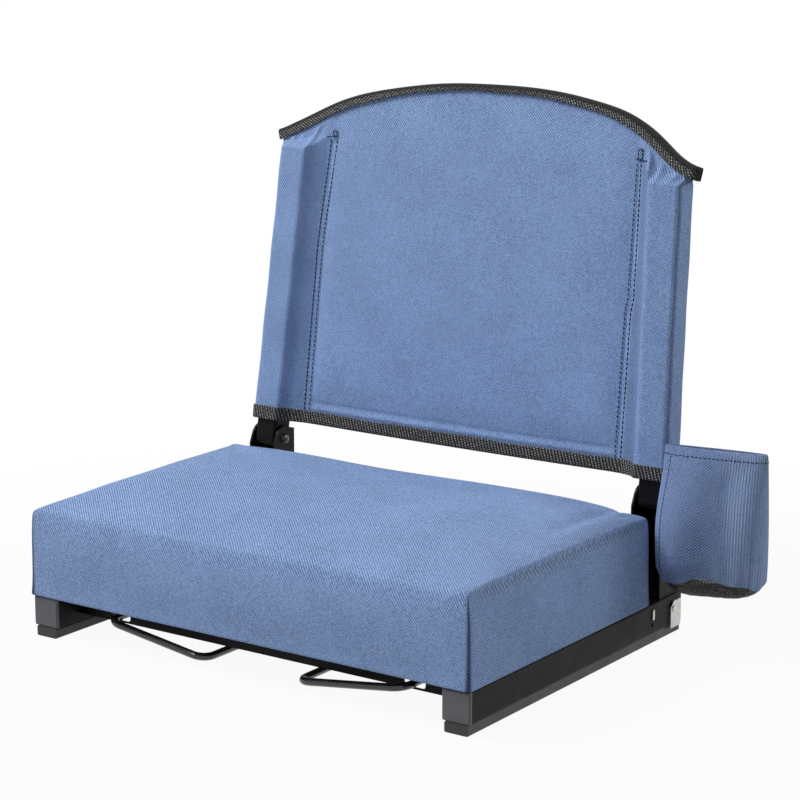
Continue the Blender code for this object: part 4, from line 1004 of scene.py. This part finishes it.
def back_panel():
    """The padded panel: a front and a rear face joined along their edges."""
    front, rear = panel_grid("front"), panel_grid("rear")
    columns, rows = front.shape[:2]
    loop = np.concatenate([front, rear[:, ::-1]], 1)
    round_faces = grid_faces(columns, 2 * rows, wrap=True)
    up = np.arange(rows - 1)
    left = np.stack([up, up + 1, 2 * rows - 2 - up, 2 * rows - 1 - up], 1)
    right = left[:, ::-1] + (columns - 1) * 2 * rows
    faces = np.concatenate([round_faces, left, right])
    uv = loop[..., ::2].reshape(-1, 2)[faces]
    points = from_back(loop)
    piece = add_piece("back_panel", points, faces.tolist(), uv, MATERIALS["back_cloth"], merge=0.00002)
    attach(piece, "backrest")
    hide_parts("back_panel_front", "back_pad", "back_panel_rear")


def sleeve_section(z, side):
    """Corner points of a sleeve about its upright: lap, strip, hollow facet, tube and the rear's.

    The right sleeve is fuller at its front inner corner and looser towards the top.
    """
    one = np.ones_like(z)
    lap = stitch_x(z, side) - LAP - centre_x(z)
    strip = stitch_x(z, side, 1) + STRIP_PAST - centre_x(z)
    front, back = PANEL_FRONT - SLEEVE_OVER_FRONT, PANEL_BACK + SLEEVE_OVER_BACK
    loose = 0.0016 + (0.0010 * ease((z - 0.10) / 0.17) if side > 0 else 0.0007)
    w, d = SLEEVE_HALF_W, SLEEVE_HALF_D + SLEEVE_SLACK
    near, far = (d + 0.0020, d - 0.0005) if side > 0 else (d, d)
    corners = [
        (lap, front + LAP_SINK), (strip, front), (-w - FACET_IN, front - FACET_DEEP), (-w, -near),
        (w + loose, -far), (w + loose, d), (-w, d), (strip, back), (lap, back - LAP_SINK),
    ]
    return np.stack([np.stack([x * one, y * one], -1) for x, y in corners], 1)


def sleeve_grid(side):
    """A sleeve's points and its shade: it fits its upright, then spreads flat into the bound arch.

    Rows below the upright's top follow the rounded section, and reach higher towards the stitch
    rows.  Above them a point's depth eases to the flat seam, its distance out spreads to the
    binding's end, and its height runs to the arch.  Tucks are slanted bell humps that fade at both
    ends of that part.  The right sleeve has a crease down its outer side, and painted shade there
    and in its hollow facet.
    """
    straight, flared = 48, 28
    full = SLEEVE_FULL_TOP[side]
    z = np.concatenate([np.linspace(HEM_Z + 0.0005, full, straight), np.full(flared, full)])
    w = np.concatenate([np.zeros(straight), np.linspace(0, 1, flared + 1)[1:] ** 1.3])[:, None]
    soft = (0.0024, 0.0052) if side < 0 else (0.0046, 0.0040)
    radii = [0.0022, 0.0040, *soft, 0.0030, 0.0030, 0.0022]
    section = rounded_path(sleeve_section(z, side), radii, 6, 15)
    middle = centre_x(z)[:, None]
    out, depth = section[..., 0], section[..., 1]
    inner = section[:, :1, 0]
    place = np.linspace(0, 1, section.shape[1])[None]
    ahead = place < 0.5
    strip = (stitch_x(z, side, 1) + STRIP_PAST - centre_x(z))[:, None]
    high = (SLEEVE_HIGH_Z - full) * np.clip((-SLEEVE_HALF_W - out) / (-SLEEVE_HALF_W - strip), 0, 1)
    start = z[:, None] + high * ease((z[:, None] - 0.20) / (full - 0.20))
    end = ARCH_END_X - SLEEVE_END_IN[side] - middle
    share = (out - inner) / (out.max(1, keepdims=True) - inner)
    spread = inner + share * (end - inner)
    x = middle + out + (spread - out) * ease(w / 0.42)
    top = arch(side * x) - SLEEVE_UNDER_TOP
    height = start + (top - start) * w
    sink = LAP_SINK * np.clip((strip - out) / (strip - inner), 0, 1)
    flat = np.where(ahead, PANEL_FRONT - SLEEVE_FLAT_OVER + sink, PANEL_BACK + SLEEVE_OVER_BACK - sink)
    y = depth + (flat - depth) * ease(w / 0.42)
    reach = (x - middle - inner) / (end - inner)
    tucks = np.zeros_like(x)
    for where, lean, width, rise in SLEEVE_TUCKS[side]:
        shift = (reach - where - lean * w) / width
        tucks += rise * bell(shift) * np.sin(np.pi * np.clip(w / 0.62, 0, 1))
    y = y - np.where(ahead, tucks, -tucks)
    wander = 0.0004 * np.sin(9.0 * height / 0.1 + 2.0 * side) * np.sin(np.pi * place)
    y = y + wander * np.sign(y)
    creased = (share > 0.95) * (1 - ease(w / 0.4)) * (side > 0)
    crease = bell((depth + SLEEVE_HALF_D - 0.0036) / 0.0018) * creased
    x = x - CREASE_IN * crease
    # Painted shade in the right sleeve's hollow facet, as a share for the seam attribute
    facet = (out - strip) / (-SLEEVE_HALF_W - strip)
    hollow = ease(facet / 0.12) * ease((1.02 - facet) / 0.22) * ahead * (1 - ease(w / 0.25)) * (side > 0)
    # The second value is painted shade in the crease and in the hollow facet
    return np.stack([side * x, y, height], -1), 0.60 * crease + 0.40 * hollow


def sleeve(name, side):
    """A cloth sleeve round an upright, with its UV in run lengths round and along it."""
    points, shade = sleeve_grid(side)
    uv = np.stack([side * (along(points, 1) + 0.2), along(points, 0)], -1)
    piece = add_sheet(name, from_back(points), uv, MATERIALS["sleeve_cloth"], flip=side < 0)
    # The seam attribute carries the painted shade of the crease and the hollow facet
    mark(piece, "seam", shade)
    thicken(piece, CLOTH_T)
    refine(piece)
    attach(piece, "backrest")
    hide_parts(name.replace("_cover", ""))
    "upright_" + name.split("_")[1]


def top_binding():
    """Webbing folded over the arched top edge, its leaves square to the edge, narrower at the crest.

    The profile is a front leaf, a half round over the top and a rear leaf, carried along the arch
    with the leaf's depth as a function of the distance from the middle, and pressed shut at its
    right end.  Its painted highlights on the rib tops stop at the fold.
    """
    x = ARCH_END_X * np.sin(np.linspace(-np.pi / 2, np.pi / 2, 181))
    z = arch(x)
    slope = np.gradient(z, x)
    inward = np.stack([slope, -np.ones_like(x)], -1) / np.sqrt(1 + slope ** 2)[:, None]
    leaf = TOP_LEAF + TOP_LEAF_GROW * np.abs(x) / ARCH_END_X
    leaf = leaf + 0.0003 * np.sin(x / 0.011) + 0.00035 * np.sin(x / 0.027 + 1.0)
    pressed = ease((ARCH_END_X - x) / TOP_END_PRESSED)[:, None]
    half = 0.0011 + ((PANEL_BACK - PANEL_FRONT) / 2 + 0.0005) * pressed
    middle = (PANEL_BACK + PANEL_FRONT) / 2
    turn = np.linspace(0, np.pi, 9)
    depth = np.concatenate([np.full(5, -1.0), -np.cos(turn)[1:-1], np.full(5, 1.0)])[None] * half + middle
    drop = np.concatenate([np.linspace(1, 0, 5), np.zeros(7), np.linspace(0, 1, 5)])
    crest = np.concatenate([np.zeros(5), np.sin(turn)[1:-1], np.zeros(5)]) * TOP_FOLD
    down = TOP_FOLD - crest[None] + drop[None] * (leaf - TOP_FOLD)[:, None]
    points = np.stack([x[:, None] + inward[:, :1] * down, depth, z[:, None] + inward[:, 1:] * down], -1)
    run = along(np.stack([x, z], -1), 0)
    uv = np.stack(np.broadcast_arrays(run[:, None], along(points, 1)), -1)
    piece = add_sheet("top_binding_webbing", from_back(points), uv, MATERIALS["top_webbing"])
    # Where the fold attribute is high, the painted highlights are left out
    rolled = np.maximum(ease((0.24 - drop) / 0.24)[None], 0.55 * (1 - ease(np.abs(x) / 0.10))[:, None])
    rolled = np.maximum(rolled, 1 - ease((ARCH_END_X - x) / 0.007)[:, None])
    mark(piece, "fold", rolled)
    thicken(piece, TOP_WEBBING_T)
    refine(piece)
    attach(piece, "backrest")
    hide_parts("top_binding")


def binding_half(grow):
    """The bottom band's way from the middle of the front round the right sleeve to the rear."""
    z = np.array([HEM_Z])
    section = sleeve_section(z, 1)
    section = section + np.stack([centre_x(z), 0 * z], -1)[:, None]
    sign = np.array([(0, -1), (0, -1), (-0.5, -1), (-1, -1), (1, -1), (1, 1), (-1, 1), (0, 1), (0, 1)])
    section[0] += sign * (grow, grow)
    section[0, [0, -1]] = [(0.0, section[0, 1, 1]), (0.0, section[0, -2, 1])]
    return rounded_path(section, [0.0024, 0.0040, 0.0032, 0.0036, 0.0036, 0.0036, 0.0024], 6, 26)[0]


def bottom_binding():
    """A webbing band round the back's bottom edge, turned in underneath along the panel."""
    half = binding_half(BINDING_GROW)
    loop = np.concatenate([half, half[-2:0:-1] * (-1, 1)])
    ahead = np.roll(loop, -1, 0) - np.roll(loop, 1, 0)
    inward = unit(np.stack([-ahead[:, 1], ahead[:, 0]], 1))
    lip = np.where(np.abs(loop[:, 0]) < STITCH_IN, 0.0040, 0.0011)
    z = hem(loop[:, 0])
    wave = 0.00035 * np.sin(loop[:, 0] / 0.012) + 0.0003 * np.sin(loop[:, 0] / 0.03 + 2.0)
    rows = [(1.0, -0.0006), (0.35, -0.0012), (0.0, 0.0), (0.0, 0.003), (0.0, 0.006), (0.0, 0.009)]
    grid = [np.column_stack([loop + inward * (lip * share)[:, None], z + rise]) for share, rise in rows]
    grid.append(np.column_stack([loop, z + BINDING_H + wave]))
    points = np.stack(grid)
    run = along(np.concatenate([loop, loop[:1]]), 0)
    uv = np.stack(np.broadcast_arrays(run[None], wrapped(along(points, 0))), -1)
    piece = add_sheet("bottom_binding_webbing", from_back(points), uv, MATERIALS["webbing"], wrap=True)
    thicken(piece, BOTTOM_WEBBING_T)
    refine(piece)
    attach(piece, "backrest")
    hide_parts("bottom_binding")


def add_back_run(name, path, normal, pitch=STITCH_PITCH):
    """A row of stitches on the back, from a path in its own measures."""
    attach(thread_run(name, from_back(path), normal, pitch), "backrest")


def back_stitching():
    """Double rows of stitches down both sides of the panel, front and rear, with bars on top."""
    behind = from_back(np.array([0.0, 1.0, 0.0])) - from_back(np.zeros(3))
    for label, side in (("left", -1), ("right", 1)):
        for face, depth, way in (("front", PANEL_FRONT - 0.0012, -1), ("rear", PANEL_BACK + 0.0010, 1)):
            for row in (0, 1):
                z = np.linspace(HEM_Z + BINDING_H, BAR_Z, 200)
                path = np.stack([side * stitch_x(z, side, row), np.full_like(z, depth), z], -1)
                add_back_run(f"stitch_{face}_{row}_{label}", path, way * behind)
        start = stitch_x(np.array(BAR_Z), side)
        reach = BAR_REACH[side]
        bar = np.array([(start - 0.001, BAR_Z), (start + reach, BAR_Z - 0.0012)])
        box = start + np.array([0.0005, 0.0012, 0.0050, 0.0046, 0.0005])
        rise = BAR_Z + BOX_SHARE[side] * np.array([0.0, 0.0092, 0.0085, 0.0005, 0.0])
        for kind, line in (("bar", bar), ("box", np.column_stack([box, rise]))):
            depth = PANEL_FRONT - np.interp(line[:, 0] - start, [0.004, reach], [0.0016, BAR_OUT[side]])
            path = np.stack([side * line[:, 0], depth, line[:, 1]], -1)
            add_back_run(f"stitch_{kind}_{label}", path, -behind, BAR_PITCH)


back_panel()
sleeve("sleeve_left_cover", -1)
sleeve("sleeve_right_cover", 1)
top_binding()
bottom_binding()
back_stitching()


# Cup holder

def cup_plan(share, shrink, angle):
    """Points of the pouch about its own axis at a height share from its hem (0) to its rim (1).

    A superellipse: nearly round in the body, pressed flat at the rim and drawn in at the hem, with
    soft folds that fade upwards, a dent in front and a belly that leans towards the seat.
    """
    draw = 1 - CUP_DRAW * (1 - share) ** 5 * (0.65 - 0.35 * np.cos(angle))
    half_w = (CUP_HALF_W + (CUP_RIM_HALF_W - CUP_HALF_W) * share ** 2) * draw - shrink
    half_d = (CUP_RIM_HALF_D + (CUP_HALF_D - CUP_RIM_HALF_D) * (1 - share ** 2.6)) * draw - shrink
    c, s = np.cos(angle), np.sin(angle)
    x = np.sign(c) * np.abs(c) ** (2 / CUP_ROUND) * half_w
    y = np.sign(s) * np.abs(s) ** (2 / CUP_ROUND) * half_d
    low = 1 - share
    fold = 0.0011 * low ** 2 * (np.cos(5 * angle) - 1) + 0.0008 * low * np.sin(9 * angle + 1.0)
    fold = fold + 0.0005 * low ** 3 * np.sin(17 * angle)
    fold = fold - CUP_DENT * bell((angle - 1.58 * np.pi) / 0.30) * ease(low / 0.3) * (1 - 0.4 * low)
    x, y = x + c * fold, y + s * fold
    ct, st = math.cos(CUP_TURN), math.sin(CUP_TURN)
    plan = np.stack([x * ct - y * st, x * st + y * ct], -1) + CUP_MIDDLE
    belly = ease(low / 0.6) * (1 - 0.65 * ease((0.16 - share) / 0.16))
    belly = belly * ease((CUP_HALF_W * 0.6 - x) / (CUP_HALF_W * 1.6)) * ease(0.6 - 1.2 * y / CUP_HALF_D)
    return plan + belly[..., None] * CUP_BELLY


def cup_height(share, angle):
    """Height of the pouch's cloth: a little raised at the rim's inner end, wavy at the hem."""
    wave = 0.0041 + 0.0030 * np.cos(angle - 1.35 * np.pi) + 0.0020 * np.cos(angle - 0.1 * np.pi)
    wave = wave + 0.0030 * np.sin(3 * angle) + 0.0016 * np.sin(7 * angle + 0.6)
    tilt = 0.0009 * (1.2 - np.cos(angle)) * share ** 4
    return CUP_LOW_Z + (CUP_RIM_Z - CUP_LOW_Z) * share + (1 - share) ** 3 * wave + tilt


def cup_pouch():
    """The pouch's cloth, turned in at its rim as a hem and left wavy where the net is sewn in."""
    angle = np.arange(120) * 2 * np.pi / 120
    shares = np.concatenate([[CUP_HEM_SHARE, 0.985, 1.0], np.linspace(1.0, 0.0, 46)[1:]])
    shrink = np.concatenate([[0.0022, 0.0022, 0.0012], np.zeros(45)])
    lift = np.concatenate([[0.0, 0.0, 0.0006], np.zeros(45)])
    share, around = np.meshgrid(shares, angle, indexing="ij")
    plan = cup_plan(share, shrink[:, None], around)
    height = cup_height(share, around) + lift[:, None]
    points = np.concatenate([plan, height[..., None]], -1)
    run = along(wrapped(points), 1).mean(0)[None]
    uv = np.stack(np.broadcast_arrays(run, wrapped(along(points, 0))), -1)
    piece = add_sheet("cup_pouch", points, uv, MATERIALS["pouch_cloth_painted_shade"], wrap=True, flip=True)
    thicken(piece, CLOTH_T)
    refine(piece)
    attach(piece, "base")
    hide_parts("cup_pouch_front", "cup_pouch_rear")


def cup_net():
    """The net bottom: the hem's outline shrunk to a point by a power of the cosine, sunk by the sine."""
    angle = np.arange(72) * 2 * np.pi / 72
    tilt = np.radians(np.concatenate([np.linspace(0, 88, 14), [89.5, 89.95, 90.0]]))
    t, around = np.meshgrid(tilt, angle, indexing="ij")
    plan = cup_plan(np.zeros_like(t), 0.0016, around)
    plan = CUP_MIDDLE + (plan - CUP_MIDDLE) * np.cos(t)[..., None] ** CUP_NET_ROUND
    height = CUP_LOW_Z + CUP_NET_TOP - CUP_NET_SINK * np.sin(t)
    points = np.concatenate([plan, height[..., None]], -1)
    uv = np.stack([along(wrapped(points), 1), along(wrapped(points), 0)], -1)
    piece = add_sheet("cup_net", points, uv, MATERIALS["net"], wrap=True, flip=True, merge=0.00001)
    thicken(piece, NET_T)
    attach(piece, "base")
    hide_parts("cup_mesh")


def add_cup_run(name, share, angle):
    """A row of fine stitches on the pouch, from height shares and angles."""
    plan = cup_plan(share, -0.00005, angle)
    path = np.column_stack([plan, cup_height(share, angle)])
    normal = np.column_stack([plan - CUP_MIDDLE, 0 * angle])
    run = thread_run(name, path, normal, CUP_STITCH_PITCH, CUP_STITCH_LENGTH, CUP_STITCH_RADIUS)
    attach(run, "base")


def cup_stitching():
    """One row of stitches round the rim's hem and one down each side seam."""
    angle = np.linspace(0, 2 * np.pi, 240)
    add_cup_run("stitch_cup_hem", np.full_like(angle, CUP_HEM_SHARE), angle)
    share = np.linspace(0.06, CUP_HEM_SHARE, 160)
    for label, where in (("left", 1.20 * np.pi), ("right", 0.08 * np.pi)):
        add_cup_run(f"stitch_cup_seam_{label}", share, np.full_like(share, where))


cup_pouch()
cup_net()
cup_stitching()


# Finishes of the CAD nodes that stay

NODE_FINISHES = {
    "rail_front_cap": "cap_plastic", "rail_rear_cap": "cap_plastic", "upright_plug": "cap_plastic",
    "rail": "powder_coat", "foot_strip": "foot_plastic", "front_cross_angle": "powder_coat",
    "rear_cross_angle": "powder_coat", "board_screw": "zinc", "seat_board": "plywood",
    "bracket": "powder_coat", "pivot_rivet": "black_rivet", "pivot_washer": "nylon",
    "upright": "powder_coat", "hook_wire": "wire", "hook_push_nut": "zinc", "hook_saddle": "powder_coat",
    "saddle_screw": "zinc", "side_plate_rivet": "zinc", "side_plate": "zinc", "edge_clip": "zinc",
    "cup_tab_rivet": "zinc", "cup_tab": "webbing",
}


def finish_node(name, node):
    """Gives a CAD node the finish whose name starts its own, the longest such name first."""
    for start in sorted(NODE_FINISHES, key=len, reverse=True):
        if name.startswith(start):
            node.data.materials.clear()
            node.data.materials.append(MATERIALS[NODE_FINISHES[start]])
            return


for name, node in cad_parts.items():
    finish_node(name, node)


# Floor, light and camera

def background_share(n):
    """One for rays that see the background straight, in a gloss or through a hole, and else none."""
    path = n.add("ShaderNodeLightPath").outputs
    seen = n.math("MAXIMUM", path["Is Camera Ray"], path["Is Glossy Ray"])
    return n.math("MAXIMUM", seen, path["Is Transmission Ray"])


def floor_plane():
    """A wide pale floor that stays near white to the eye and keeps a soft shadow."""
    c = np.linspace(-FLOOR_HALF, FLOOR_HALF, 3)
    x, y = np.meshgrid(c, c, indexing="ij")
    points = np.stack([x, y, np.full_like(x, -FLOOR_DROP)], -1)
    material = bpy.data.materials.new("pale_floor")
    material.use_nodes = True
    n = Nodes(material.node_tree)
    matt = n.add("ShaderNodeBsdfDiffuse", {"Color": (0.55, 0.55, 0.55, 1.0)})
    glow = n.add("ShaderNodeEmission", {"Color": (1.0, 1.0, 1.0, 1.0), "Strength": 1.0})
    place = n.add("ShaderNodeTexCoord").outputs["Object"]
    far = n.add("ShaderNodeVectorMath", {0: place}, operation="LENGTH").outputs["Value"]
    share = n.times(background_share(n), n.ramp(far, 0.45, 0.8, 0.94, 1.0))
    mixed = n.add("ShaderNodeMixShader", {0: share, 1: matt.outputs[0], 2: glow.outputs[0]})
    n.add("ShaderNodeOutputMaterial", {"Surface": mixed.outputs[0]})
    floor = add_sheet("floor", points, np.stack([x, y], -1), material)


def soft_sky(level):
    """An even pale sky that lights the object and looks white."""
    world = bpy.data.worlds.new("soft_sky")
    bpy.context.scene.world = world
    world.use_nodes = True
    n = Nodes(world.node_tree)
    light = n.add("ShaderNodeBackground", {"Color": (0.98, 0.99, 1.0, 1.0), "Strength": level})
    white = n.add("ShaderNodeBackground", {"Color": (1.0, 1.0, 1.0, 1.0), "Strength": 1.0})
    mixed = n.add("ShaderNodeMixShader", {0: background_share(n), 1: light.outputs[0], 2: white.outputs[0]})
    n.add("ShaderNodeOutputWorld", {"Surface": mixed.outputs[0]})


def soft_box(name, place, aim, size, power):
    """A large square lamp at a place, turned to face a point."""
    lamp = bpy.data.lights.new(name, "AREA")
    lamp.shape = "SQUARE"
    lamp.size = size
    lamp.energy = power
    item = add_item(name, lamp)
    item.location = place
    direction = np.array(aim) - np.array(place)
    flat = math.hypot(direction[0], direction[1])
    heading = math.atan2(direction[1], direction[0]) - math.pi / 2
    item.rotation_euler = (math.atan2(flat, -direction[2]), 0.0, heading)


def photo_camera():
    """The camera, where the photo's edges place it."""
    data = bpy.data.cameras.new("photo_camera")
    data.sensor_width = CAMERA_SENSOR_MM
    data.lens = CAMERA_LENS_MM
    item = add_item("photo_camera", data)
    item.location = from_seat(CAMERA_PLACE).tolist()
    item.rotation_euler = (math.pi / 2 - CAMERA_DOWN, 0.0, CAMERA_TURN)
    bpy.context.scene.camera = item


floor_plane()
soft_sky(level=0.23)
soft_box("key_light", place=(-2.10, -1.55, 3.30), aim=(0.0, 0.0, 0.15), size=2.0, power=170.0)
soft_box("side_light", place=(2.20, 2.10, 0.90), aim=(0.15, 0.15, 0.15), size=1.0, power=26.0)
photo_camera()
bpy.context.scene.view_settings.view_transform = "Standard"
